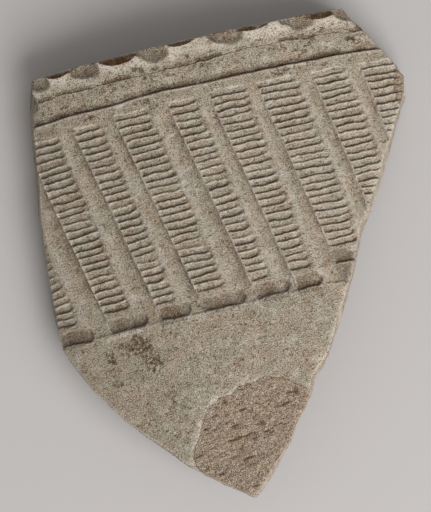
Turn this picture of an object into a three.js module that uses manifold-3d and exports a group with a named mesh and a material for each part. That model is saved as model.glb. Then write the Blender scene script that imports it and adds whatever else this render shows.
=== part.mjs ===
// Rim sherd of a thick-walled basin, thrown in coarse pale clay and decorated by hand.
// Millimetres, +Z up. The sherd lies on its broken edge with its outside up: +X runs along
// the rim and +Y towards the lip. The origin is the middle of the sherd's box, on the table.
//
// Places on the wall are given as three lengths: around, along the rim from the pot's highest
// line; up, along the pot's axis towards the rim; and out, square to the plain outer surface.

import * as THREE from 'three';
import { mergeVertices } from 'three/addons/utils/BufferGeometryUtils.js';
import Module from 'manifold-3d';

const wasm = await Module();
wasm.setup();

// The pot
const potRadius = 105;
const wallFlareDegrees = 4;
const wallThickness = 7.5;
const lipThickening = 1;
const facetsRoundPot = 120;

// The sherd, and how it lies on the table
const sherdWidth = 96;
const sherdLength = 102;
const dipTowardsRimDegrees = 5.67;
const arrisWear = 0.5;

// The turned rim band, from its groove up to the seam of the lip
const grooveHeight = 41.2;
const grooveDepth = 0.85;
const grooveMouth = 0.3;
const bandHeight = 4.9;

// The lip strip, luted on above the seam
const lipHeight = 4.8;
const seamEdgeThickness = 0.9;
const seatDepth = 2.6;
const seatGap = 0.3;
const crestDrop = 1;
const crestFlare = 1.35;
const bevelDepth = 0.6;
const rimRounding = 1.4;

// Finger scoops over the lip's outer face, and thumb presses on its top between them
const scoopWidth = 7;
const scoopReach = 3.9;
const scoopDepth = 1.9;
const pressRadius = 8.4;
const pressSink = 1.5;
const pressSlopeDegrees = 42;

// The sunk field of combed columns
const fieldMargin = 3.1;
const fieldHeight = 46.2;
const fieldDepth = 0.3;
const fieldSpan = 100;
const stepRise = 0.35;

// The strokes of the comb
const strokePitch = 1.63;
const strokeDepth = 0.8;
const strokeRows = 26;
const columnLeanDegrees = 12.2;
const handWobble = 0.16;

// The scoop that ends each column, and the flute between two columns
const endScoopHeight = 3.5;
const endScoopDepth = 1;
const fluteDepth = 0.22;

// The flake lost near the point, as an oval dish
const flakeWidth = 36;
const flakeLength = 35;
const flakeDepth = 1.9;

// Throwing ridges on the inside
const ridgePitch = 7.8;
const ridgeDepth = 0.35;

// How far every cutter runs past what it cuts
const overrun = 4;

// Corners of the broken outline on the outer surface, as shares of the sherd's width and length,
// from the rim's left end round the point and back to the rim
const outlineShares = [
  [-0.396, 0.512], [-0.417, 0.451], [-0.473, 0.137], [-0.492, -0.089], [-0.442, -0.174],
  [-0.367, -0.279], [-0.248, -0.4], [-0.117, -0.491], [-0.093, -0.476], [0, -0.37],
  [0.108, -0.245], [0.433, 0.316], [0.443, 0.339], [0.326, 0.512],
];
// The lean of the break that follows each corner: above zero it shows from above
const breakLeanDegrees = [5, 6, 3, -4, -6, -3, 3, 9, 12, 8, 11, 13, 6];

// Left end of each column's top stroke, width there, and the phase of its rows
const columnStartShares = [-0.582, -0.439, -0.318, -0.221, -0.099, -0.008, 0.098, 0.22, 0.331];
const columnWidthShares = [0.09, 0.082, 0.066, 0.08, 0.063, 0.081, 0.09, 0.078, 0.088];
const columnNarrowingShares = [0.16, 0.24, 0.3, 0.2, 0.28, 0.36, 0.2, 0.08, 0];
const columnPhaseShares = [0.3, 0.9, 0.5, 0.1, 0.2, 0, 0.1, 0.2, 0.25];
const endScoopWidthShares = [0.1, 0.089, 0.068, 0.093, 0.07, 0.056, 0.06, 0.06, 0.06];
// Rows where the comb was lifted, which are faint right across the field
const faintRowShares = [0.42, 0.74];
const faintDepthShare = 0.45;

// Middles of the finger scoops and thumb presses along the rim, as shares of the sherd's width
const scoopShares = [-0.386, -0.266, -0.113, 0.06, 0.221, 0.34];
const pressShares = [-0.336, -0.176, -0.038, 0.13, 0.288];

// The flake's middle, as shares of the sherd's width and length
const flakeShares = [-0.047, -0.415];

// Section of a gouge, as shares of its height and depth: an easy upper slope, the deepest line
// low down, and a steep lower wall up to a sharp crest
const gougeSectionShares = [[0.72, 0.3], [-0.28, -1], [-0.56, 0.3]];
// Stations along a gouge, as shares of its length, with the size of the section there
const gougeStationShares = [[0, 0.85], [0.78, 1], [1, 0.4]];
// Section of a flute, as shares of its width and depth
const fluteSectionShares = [[-0.6, 1.5], [-0.5, 0], [0, -1], [0.5, 0], [0.6, 1.5]];

const clay = { surface: 0xa89f8e, lip: 0xb0a898 };

// Heights along the pot's axis
const seamHeight = grooveHeight + bandHeight;
const rimHeight = seamHeight + lipHeight;
const crestHeight = rimHeight - crestDrop;
const fieldTop = grooveHeight - fieldMargin;
const fieldBottom = fieldTop - fieldHeight;

const wallFlare = THREE.MathUtils.degToRad(wallFlareDegrees);
const columnSlope = Math.tan(THREE.MathUtils.degToRad(columnLeanDegrees));

/** Outer radius of the plain wall at a height. */
function radiusAt(up) {
  return potRadius + up * Math.tan(wallFlare);
}

/** The point at a place on the wall. */
function onWall(around, up, out = 0) {
  const angle = around / potRadius;
  const radius = radiusAt(up) + out;
  return new THREE.Vector3(radius * Math.sin(angle), up, radius * Math.cos(angle));
}

/** Axes at a place on the wall: x along the rim, y up the wall, z straight out. */
function wallFrame(around, up, out = 0) {
  const angle = around / potRadius;
  const turn = new THREE.Matrix4().makeRotationY(angle);
  const flare = new THREE.Matrix4().makeRotationX(wallFlare);
  return turn.multiply(flare).setPosition(onWall(around, up, out));
}

/** A solid from a closed geometry. */
function solidFrom(geometry) {
  const bare = geometry.index ? geometry.clone() : geometry;
  bare.deleteAttribute('normal');
  bare.deleteAttribute('uv');
  const merged = mergeVertices(bare);
  const mesh = new wasm.Mesh({
    numProp: 3,
    vertProperties: new Float32Array(merged.attributes.position.array),
    triVerts: new Uint32Array(merged.index.array),
  });
  return new wasm.Manifold(mesh);
}

/** A flat-shaded geometry from a solid. */
function geometryFrom(solid) {
  const mesh = solid.getMesh();
  const geometry = new THREE.BufferGeometry();
  geometry.setAttribute('position', new THREE.BufferAttribute(new Float32Array(mesh.vertProperties), 3));
  geometry.setIndex(new THREE.BufferAttribute(new Uint32Array(mesh.triVerts), 1));
  return geometry;
}

/** A closed geometry through rings of as many points each, capped at both ends. */
function loft(rings) {
  const count = rings[0].length;
  const points = rings.flat();
  const triangles = [];
  for (let ring = 0; ring + 1 < rings.length; ring += 1) {
    for (let i = 0; i < count; i += 1) {
      const a = ring * count + i;
      const b = ring * count + (i + 1) % count;
      triangles.push([a, b, b + count], [a, b + count, a + count]);
    }
  }
  const last = (rings.length - 1) * count;
  for (let i = 1; i + 1 < count; i += 1) {
    triangles.push([0, i + 1, i], [last, last + i, last + i + 1]);
  }
  const volume = triangles.reduce((sum, [a, b, c]) => {
    return sum + points[a].dot(points[b].clone().cross(points[c]));
  }, 0);
  const faces = volume < 0 ? triangles.map(([a, b, c]) => [a, c, b]) : triangles;
  const geometry = new THREE.BufferGeometry().setFromPoints(points);
  geometry.setIndex(faces.flat());
  return geometry;
}

/** A ring of the pot turned from a profile of [out, up] points. */
function turned(profile) {
  const points = [...profile, profile[0]].map(([out, up]) => new THREE.Vector2(radiusAt(up) + out, up));
  return solidFrom(new THREE.LatheGeometry(points, facetsRoundPot));
}

/** The same uneven values, from -1 to 1, each time the part is built. */
function unevenHand(seed) {
  let state = seed;
  return () => {
    state = (state * 16807) % 2147483647;
    return (2 * state) / 2147483647 - 1;
  };
}

/** Profile of the wall: its outside from the point up to the seam, the lip's seat, and the inside. */
function wallProfile() {
  const foot = -sherdLength / 2 - overrun;
  const outside = [
    [0, foot],
    [0, fieldBottom],
    [-fieldDepth, fieldBottom + stepRise],
    [-fieldDepth, fieldTop],
    [0, fieldTop + stepRise],
    [0, grooveHeight - grooveMouth],
    [-grooveDepth, grooveHeight],
    [-0.5 * grooveDepth, grooveHeight + 0.22 * bandHeight],
    [-0.13 * grooveDepth, grooveHeight + 0.5 * bandHeight],
    [0, grooveHeight + 0.73 * bandHeight],
    [0, seamHeight],
    [-seamEdgeThickness - seatGap, seamHeight],
    [-seatDepth, rimHeight],
  ];
  const rimInside = [
    [-wallThickness - lipThickening + rimRounding, rimHeight],
    [-wallThickness - lipThickening, rimHeight - rimRounding],
    [-wallThickness - lipThickening, seamHeight],
  ];
  const inside = [];
  const ridges = Math.floor((grooveHeight - foot) / ridgePitch);
  for (let i = 0; i < ridges; i += 1) {
    const crest = grooveHeight - i * ridgePitch;
    inside.push([-wallThickness, crest], [-wallThickness + ridgeDepth, crest - ridgePitch / 2]);
  }
  inside.push([-wallThickness, foot]);
  return [...outside, ...rimInside, ...inside];
}

/** Profile of the lip strip: a feather edge at the seam, swelling to the flared crest. */
function lipProfile() {
  const seat = seamHeight + seatGap;
  const swelling = crestHeight - seat;
  return [
    [0, seat],
    [0.28 * crestFlare, seat + 0.4 * swelling],
    [0.82 * crestFlare, seat + 0.82 * swelling],
    [crestFlare, crestHeight],
    [-bevelDepth, rimHeight],
    [-seatDepth + seatGap, rimHeight],
    [-seamEdgeThickness, seat],
  ];
}

/** A gouge cut level along the wall from its left end. */
function gouge(around, up, length, height, depth) {
  const rings = gougeStationShares.map(([along, size]) => gougeSectionShares.map(([rise, sink]) => {
    return onWall(around + along * length, up + rise * size * height, sink * size * depth - fieldDepth);
  }));
  return solidFrom(loft(rings));
}

/** Where a column's left edge is at a height, and how wide the column is there. */
function columnAt(column, up) {
  const below = fieldTop - up;
  const share = below / (fieldTop - fieldBottom);
  return {
    start: columnStartShares[column] * fieldSpan + below * columnSlope,
    width: columnWidthShares[column] * fieldSpan * (1 - columnNarrowingShares[column] * share),
  };
}

/** The strokes and the closing scoop of one column. */
function columnCutters(column) {
  const hand = unevenHand(7 + 31 * column);
  const cutters = [];
  const faintRows = faintRowShares.map((share) => Math.round(share * strokeRows));
  for (let row = 0; row < strokeRows; row += 1) {
    const up = fieldTop - (row + columnPhaseShares[column]) * strokePitch + hand() * handWobble / 2;
    const lowest = fieldBottom + endScoopHeight + strokePitch / 2;
    const { start, width } = columnAt(column, up);
    const left = start + hand() * handWobble;
    const length = width + hand() * handWobble * 3;
    const faint = faintRows.includes(row) ? faintDepthShare : 1;
    const depth = strokeDepth * faint * (1 + hand() * handWobble);
    if (up > lowest) {
      cutters.push(gouge(left, up, length, strokePitch, depth));
    }
  }
  const middle = fieldBottom + endScoopHeight / 2;
  const { start } = columnAt(column, middle);
  const width = endScoopWidthShares[column] * fieldSpan;
  cutters.push(gouge(start, middle, width, endScoopHeight, endScoopDepth));
  return cutters;
}

/** The shallow flute between a column and the next, widening downwards. */
function flute(column) {
  const ends = [fieldTop, (fieldTop + fieldBottom) / 2, fieldBottom + endScoopHeight];
  const rings = ends.map((up) => {
    const left = columnAt(column, up);
    const right = columnAt(column + 1, up);
    const from = left.start + left.width;
    const width = right.start - from;
    const middle = from + width / 2;
    return fluteSectionShares.map(([across, sink]) => {
      return onWall(middle + across * width, up, sink * fluteDepth - fieldDepth);
    });
  });
  return solidFrom(loft(rings));
}

/** An oval dish sunk into the wall, with the wall's own curve allowed for. */
function flakeDish() {
  const [across, along] = [flakeWidth / 2, flakeLength / 2];
  const bendAlong = 2 * flakeDepth / along ** 2;
  const bendAcross = 2 * flakeDepth / across ** 2 - 1 / potRadius;
  const height = along;
  const oval = new THREE.SphereGeometry(1, 40, 24);
  oval.scale(Math.sqrt(height / bendAcross), Math.sqrt(height / bendAlong), height);
  const [aroundShare, upShare] = flakeShares;
  oval.applyMatrix4(wallFrame(aroundShare * sherdWidth, upShare * sherdLength, height - flakeDepth));
  return solidFrom(oval);
}

/** One finger scoop, an egg pressed into the lip's outer face and open at the rim. */
function fingerScoop(around) {
  const egg = new THREE.SphereGeometry(1, 20, 14);
  egg.scale(scoopWidth / 2, scoopReach, scoopDepth);
  egg.applyMatrix4(wallFrame(around, rimHeight, crestFlare));
  return solidFrom(egg);
}

/** One thumb press, a round groove across the lip's top that falls outwards. */
function thumbPress(around) {
  const thumb = new THREE.CylinderGeometry(pressRadius, pressRadius, 2 * overrun + wallThickness, 36);
  thumb.rotateX(Math.PI / 2);
  thumb.translate(0, pressRadius, 0);
  thumb.rotateX(THREE.MathUtils.degToRad(pressSlopeDegrees));
  thumb.applyMatrix4(wallFrame(around, rimHeight - pressSink, crestFlare));
  return solidFrom(thumb);
}

/** A block whose face is the break between two corners of the outline. */
function breakBlock(from, to, leanDegrees) {
  const size = 6 * potRadius;
  const along = to.clone().sub(from).normalize();
  const outward = new THREE.Vector3(along.y, -along.x, 0).normalize();
  outward.applyAxisAngle(along, -THREE.MathUtils.degToRad(leanDegrees));
  const place = new THREE.Matrix4().makeBasis(along, outward, along.clone().cross(outward));
  place.setPosition(from.clone().add(to).divideScalar(2));
  const block = new THREE.BoxGeometry(size, size, size);
  block.translate(0, size / 2, 0);
  return solidFrom(block.applyMatrix4(place));
}

/** The rest of the pot, as one solid: what lies past each break, and the pot's other side. */
function restOfPot() {
  const corners = outlineShares.map(([around, up]) => onWall(around * sherdWidth, up * sherdLength));
  const pastBreaks = breakLeanDegrees.map((lean, i) => breakBlock(corners[i], corners[i + 1], lean));
  const size = 6 * potRadius;
  const otherSide = new THREE.BoxGeometry(size, size, size).translate(0, 0, -size / 2);
  return wasm.Manifold.union([...pastBreaks, solidFrom(otherSide)]);
}

/** What is left of a solid when every cutter is taken away. */
function cut(solid, cutters) {
  return solid.subtract(wasm.Manifold.union(cutters));
}

/** The lowest point of some solids once they are turned. */
function lowestOf(solids, turn) {
  const box = new THREE.Box3();
  solids.forEach((solid) => {
    const turnedCopy = geometryFrom(solid).applyMatrix4(turn);
    turnedCopy.computeBoundingBox();
    box.union(turnedCopy.boundingBox);
  });
  return box.min.z;
}

/** The table, as a block that rubs the lowest arrises flat. */
function tableBlock(height, turn) {
  const size = 4 * sherdLength;
  const table = new THREE.BoxGeometry(size, size, size);
  table.translate(0, 0, height - size / 2);
  return solidFrom(table.applyMatrix4(turn.clone().invert()));
}

/** The wall of the pot: band groove, combed field, flutes and lost flake. */
function makeWall(rest) {
  const columns = columnStartShares.map((_, column) => column);
  const blank = turned(wallProfile()).subtract(rest);
  const flutes = columns.slice(0, -1).map(flute);
  const strokes = columns.flatMap(columnCutters);
  return cut(blank, [...flutes, ...strokes, flakeDish()]);
}

/** The frilled lip strip. */
function makeLip(rest) {
  const scoops = scoopShares.map((share) => fingerScoop(share * sherdWidth));
  const presses = pressShares.map((share) => thumbPress(share * sherdWidth));
  return cut(turned(lipProfile()), [rest, ...scoops, ...presses]);
}

/** A named mesh of fired clay. */
function clayMesh(name, solid, color) {
  const material = new THREE.MeshStandardMaterial({ color, roughness: 0.95, metalness: 0 });
  const mesh = new THREE.Mesh(geometryFrom(solid), material);
  mesh.name = name;
  return mesh;
}

const lying = new THREE.Matrix4().makeRotationX(-THREE.MathUtils.degToRad(dipTowardsRimDegrees));
const rest = restOfPot();
const whole = [makeWall(rest), makeLip(rest)];
const table = tableBlock(lowestOf(whole, lying) + arrisWear, lying);
const [wall, lip] = whole.map((solid) => solid.subtract(table));

const sherd = new THREE.Group();
sherd.add(clayMesh('wall', wall, clay.surface), clayMesh('frilled_lip', lip, clay.lip));
sherd.applyMatrix4(lying);
const box = new THREE.Box3().setFromObject(sherd, true);
const middle = box.getCenter(new THREE.Vector3());
sherd.position.sub(new THREE.Vector3(middle.x, middle.y, box.min.z));

const part = new THREE.Group();
part.add(sherd);

export default part;
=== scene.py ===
"""The looks of a pottery sherd: part of a thick-walled basin's rim, frilled and combed by hand.

Sizes are in millimetres unless a name says otherwise. The meshes are in metres, in the frame of the
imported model: +X along the rim, +Y towards the lip, +Z up, and the table at zero.

Places on the sherd are measured on the wall that the potter worked: around, along the rim from the
pot's highest line; up, along the pot's axis towards the rim; and out, square to the outer surface.
An array of places has these three columns, and a flat one has the first two.
"""
import itertools
import logging
import math
from dataclasses import dataclass
from enum import Enum
from typing import NamedTuple

import bpy
import numpy as np
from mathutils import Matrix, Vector


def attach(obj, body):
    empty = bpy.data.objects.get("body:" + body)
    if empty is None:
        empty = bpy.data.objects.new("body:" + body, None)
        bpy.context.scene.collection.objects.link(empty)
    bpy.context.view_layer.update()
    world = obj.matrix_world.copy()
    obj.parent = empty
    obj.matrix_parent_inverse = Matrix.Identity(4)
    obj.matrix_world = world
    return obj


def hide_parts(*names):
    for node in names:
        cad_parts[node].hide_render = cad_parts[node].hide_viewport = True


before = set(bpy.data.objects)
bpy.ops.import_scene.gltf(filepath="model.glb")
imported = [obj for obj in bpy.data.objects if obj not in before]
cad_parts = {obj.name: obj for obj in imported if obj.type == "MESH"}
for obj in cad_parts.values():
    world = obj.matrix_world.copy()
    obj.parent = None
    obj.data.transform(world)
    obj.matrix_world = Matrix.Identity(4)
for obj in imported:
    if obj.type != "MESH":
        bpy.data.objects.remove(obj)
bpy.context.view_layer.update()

MM = 0.001
DOUBLES_REACH = 0.002
log = logging.getLogger("sherd")

Colour = tuple[int, int, int]
Size = float | tuple[float, ...]


class Face(Enum):
    """The two worked faces of the wall."""

    OUTSIDE = "outside"
    INSIDE = "inside"


class Tint(Enum):
    """What colours the clay from place to place, as attributes of the mesh from 0 to 1."""

    CORE = "core"
    # Dirt, and painted shade in the cut hollows.
    DIRT = "dirt_and_shade"
    # Pale wear and the breaks' paler clay, and painted highlights on crests and edges.
    PALE = "pale"
    STAIN = "stain"


def passed(values: np.ndarray, start: Size, end: Size) -> np.ndarray:
    """Straight share of the way from start to end, held at 0 before it and at 1 after it."""
    return np.clip((values - start) / (end - start), 0, 1)


def eased(values: np.ndarray, start: Size, end: Size) -> np.ndarray:
    """Rise smoothly from 0 at start to 1 at end, which may lie below start."""
    share = passed(values, start, end)
    return share * share * (3 - 2 * share)


def ridge(values: np.ndarray, width: float) -> np.ndarray:
    """A round-topped ridge, 1 at zero and nearly gone at twice the width."""
    return np.exp(-((values / width) ** 2))


def from_oval(flat: np.ndarray, middle: tuple[float, float], half: tuple[float, float]) -> np.ndarray:
    """Distance from an oval's middle, as a share of the way to its edge."""
    return np.hypot((flat[:, 0] - middle[0]) / half[0], (flat[:, 1] - middle[1]) / half[1])


def uneven(points: np.ndarray, cell: Size, seed: int) -> np.ndarray:
    """Smooth chance values from -1 to 1, the same on each run.

    Args:
        points: Places, one row each.
        cell: Size of one lump, the same all ways or one for each direction.
        seed: Which pattern.

    Returns:
        One value for each place.
    """
    scaled = points / np.array(cell)
    corner = np.floor(scaled).astype(np.int64)
    part = scaled - corner
    part = part * part * (3 - 2 * part)
    primes = np.array([73856093, 19349663, 83492791][: points.shape[1]])
    total = np.zeros(len(points))
    for step in itertools.product((0, 1), repeat=points.shape[1]):
        weight = np.prod(np.where(np.array(step) == 1, part, 1 - part), axis=1)
        mixed = ((corner + np.array(step)) * primes).sum(axis=1) + seed * 40503
        mixed = (mixed ^ (mixed >> 13)) * 1274126177
        mixed = ((mixed ^ (mixed >> 16)) * 668265263) & 0x7FFFFFFF
        total += weight * (mixed / 0x3FFFFFFF - 1)
    return total


@dataclass(frozen=True)
class Lumps:
    """Soft lumps strewn by chance, up to height above and below their level."""

    size: Size
    seed: int
    height: float = 1.0
    level: float = 0.0

    def at(self, places: np.ndarray, which: int = 0) -> np.ndarray:
        """The lumps' height at each place.

        Args:
            places: Places, one row each, or one number each along the rim.
            which: Which of several like patterns.

        Returns:
            One value for each place.
        """
        points = places[:, None] if places.ndim == 1 else places
        return self.level + self.height * uneven(points, self.size, self.seed + which)


def heaped(layers: tuple[Lumps, ...], places: np.ndarray) -> np.ndarray:
    """Layers of lumps, one on the other."""
    return sum(layer.at(places) for layer in layers)


@dataclass(frozen=True)
class Spots:
    """Spots strewn by chance, which rise from 0 to 1 where lumps pass from start to full."""

    size: Size
    seed: int
    start: float
    full: float

    def at(self, places: np.ndarray) -> np.ndarray:
        """1 in a spot and 0 between them."""
        return eased(Lumps(self.size, self.seed).at(places), self.start, self.full)


@dataclass(frozen=True)
class Line:
    """A soft-edged line: where it lies on a scale, half its width there, and its strength."""

    place: float
    width: float
    strength: float = 1.0

    def on(self, scale: np.ndarray) -> np.ndarray:
        """The line's strength at each value of the scale."""
        return self.strength * ridge(scale - self.place, self.width)


class Mark(NamedTuple):
    """What a tool left on the clay: how far it stands out, its dirt and painted shade, and how pale it is
    from wear and painted highlights.
    """

    relief: np.ndarray
    dirt_and_shade: np.ndarray
    pale: np.ndarray


@dataclass(frozen=True)
class Pot:
    """The pot that the sherd broke from, and how its wall lies on the table."""

    radius: float = 105.0
    flare_degrees: float = 4.0
    wall: float = 7.5
    rim_height: float = 50.9
    dip_degrees: float = 5.67
    origin: tuple[float, float, float] = (0.8812, -9.8810, -86.2900)

    def radius_at(self, up: np.ndarray) -> np.ndarray:
        """Outer radius of the plain wall at a height."""
        return self.radius + up * math.tan(math.radians(self.flare_degrees))

    def wrapped(self, places: np.ndarray) -> np.ndarray:
        """Wrap the wall round its pot.

        Args:
            places: Places on the wall.

        Returns:
            The same places as points about the pot's axis, which is Y.
        """
        angle = places[:, 0] / self.radius
        radius = self.radius_at(places[:, 1]) + places[:, 2]
        return np.column_stack([radius * np.sin(angle), places[:, 1], radius * np.cos(angle)])

    def unwrapped(self, points: np.ndarray) -> np.ndarray:
        """Lay the pot's wall out flat again.

        Args:
            points: Points about the pot's axis.

        Returns:
            The same points as places on the wall.
        """
        around = np.arctan2(points[:, 0], points[:, 2]) * self.radius
        out = np.hypot(points[:, 0], points[:, 2]) - self.radius_at(points[:, 1])
        return np.column_stack([around, points[:, 1], out])

    def laid_down(self, points: np.ndarray) -> np.ndarray:
        """Lay the sherd on the table, with its feet worn level.

        Args:
            points: Points about the pot's axis.

        Returns:
            The same points in the sherd's frame, none of them below the table.
        """
        dip = -math.radians(self.dip_degrees)
        y = points[:, 1] * math.cos(dip) - points[:, 2] * math.sin(dip)
        z = points[:, 1] * math.sin(dip) + points[:, 2] * math.cos(dip)
        lying = np.column_stack([points[:, 0], y, z]) + np.array(self.origin)
        lying[:, 2] = np.maximum(lying[:, 2], 0)
        return lying


@dataclass(frozen=True)
class Crumbling:
    """Clay lost from a break in lumps of one size, less and less with the distance from it."""

    size: tuple[float, float, float]
    seed: int
    depth: float
    reach: float
    spared_share: float = 0.0

    def lost(self, places: np.ndarray) -> np.ndarray:
        """Depth of the clay that is gone at the break itself."""
        lumps = Lumps(self.size, self.seed, height=0.5, level=0.5).at(places)
        return self.depth * np.maximum(lumps - self.spared_share, 0)


@dataclass(frozen=True)
class Bite:
    """A place where a break is chipped in."""

    around: float
    up: float
    radius: float
    depth: float

    def lost(self, places: np.ndarray) -> np.ndarray:
        """Depth of the clay that is gone at the break itself."""
        away = np.hypot(places[:, 0] - self.around, places[:, 1] - self.up)
        return self.depth * ridge(away, self.radius)


@dataclass(frozen=True)
class Breaks:
    """The flat breaks round the sherd, and the rough, worn clay that they show."""

    pot: Pot
    width: float = 96.0
    length: float = 102.0
    corner_shares: tuple[tuple[float, float], ...] = (
        (-0.396, 0.512), (-0.417, 0.451), (-0.475, 0.137), (-0.499, -0.078), (-0.447, -0.182),
        (-0.37, -0.282), (-0.249, -0.401), (-0.117, -0.491), (-0.098, -0.478), (-0.001, -0.392),
        (0.1345, -0.223), (0.438, 0.2868), (0.459, 0.3315), (0.326, 0.512),
    )
    lean_degrees: tuple[float, ...] = (5, 6, 3, -4, -6, -3, 3, 9, 7, 3, 4.5, 6, 5)
    merge_reach: float = 0.04
    crumbling: tuple[Crumbling, ...] = (
        Crumbling((7.0, 7.0, 3.4), 3, depth=0.308, reach=1.9, spared_share=0.35),
        Crumbling((2.3, 2.3, 1.1), 4, depth=0.154, reach=1.14),
        Crumbling((0.9, 0.9, 0.55), 5, depth=0.077, reach=0.57),
    )
    arris_wear: float = 0.16
    arris_width: float = 0.55
    bite_reach: float = 3.04
    bites: tuple[Bite, ...] = (
        Bite(9.2, -27.8, 2.4, 0.3), Bite(2.2, -36.0, 1.9, 0.1), Bite(27.4, 2.3, 5.5, 0.45),
        Bite(33.8, 48.4, 1.8, 0.35), Bite(-39.4, 45.9, 1.8, 0.35),
    )

    def planes(self) -> list[tuple[np.ndarray, np.ndarray]]:
        """The flat breaks, in order round the sherd.

        Returns:
            A point on each break and its outward normal, about the pot's axis.
        """
        shares = np.array(self.corner_shares)
        flat = np.column_stack([shares * np.array([self.width, self.length]), np.zeros(len(shares))])
        corners = self.pot.wrapped(flat)
        made = []
        for first, last, lean in zip(corners, corners[1:], self.lean_degrees):
            along = (last - first) / np.linalg.norm(last - first)
            outward = np.array([along[1], -along[0], 0.0])
            outward /= np.linalg.norm(outward)
            turn = -math.radians(lean)
            outward = outward * math.cos(turn) + np.cross(along, outward) * math.sin(turn)
            made.append(((first + last) / 2, outward))
        return made

    def depths(self, points: np.ndarray) -> np.ndarray:
        """How far each point lies inside each break, one column for each break."""
        return np.column_stack([(middle - points) @ normal for middle, normal in self.planes()])

    def nearest(self, points: np.ndarray) -> np.ndarray:
        """How far each point lies inside the nearest break."""
        return self.depths(points).min(axis=1)

    def trim(self, sheet: bpy.types.Object) -> None:
        """Cut away what lies past each break.

        Args:
            sheet: A mesh about the pot's axis.
        """
        bpy.context.view_layer.objects.active = sheet
        bpy.ops.object.mode_set(mode="EDIT")
        for middle, normal in self.planes():
            bpy.ops.mesh.select_all(action="SELECT")
            bpy.ops.mesh.bisect(
                plane_co=tuple(middle * MM), plane_no=tuple(normal), clear_outer=True,
                threshold=self.merge_reach * MM
            )
        bpy.ops.object.mode_set(mode="OBJECT")

    def worn(self, out: np.ndarray) -> np.ndarray:
        """Depth worn off each break at its two arrises."""
        return self.arris_wear * (ridge(out, self.arris_width) + ridge(out + self.pot.wall, self.arris_width))

    def roughened(self, points: np.ndarray, places: np.ndarray) -> np.ndarray:
        """Push the breaks in where clay crumbled away, most at the arrises and at the bites.

        Args:
            points: Points of the mesh about the pot's axis.
            places: The same points as places on the wall.

        Returns:
            The points, moved.
        """
        lost = [(layer.lost(places), layer.reach) for layer in self.crumbling]
        lost += [(bite.lost(places), self.bite_reach) for bite in self.bites]
        lost.append((self.worn(places[:, 2]), self.arris_width))
        moved = points.copy()
        for depth, (_, normal) in zip(self.depths(points).T, self.planes()):
            near = np.maximum(depth, 0)
            push = sum(amount * np.exp(-near / reach) for amount, reach in lost)
            moved -= push[:, None] * normal
        return moved


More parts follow.
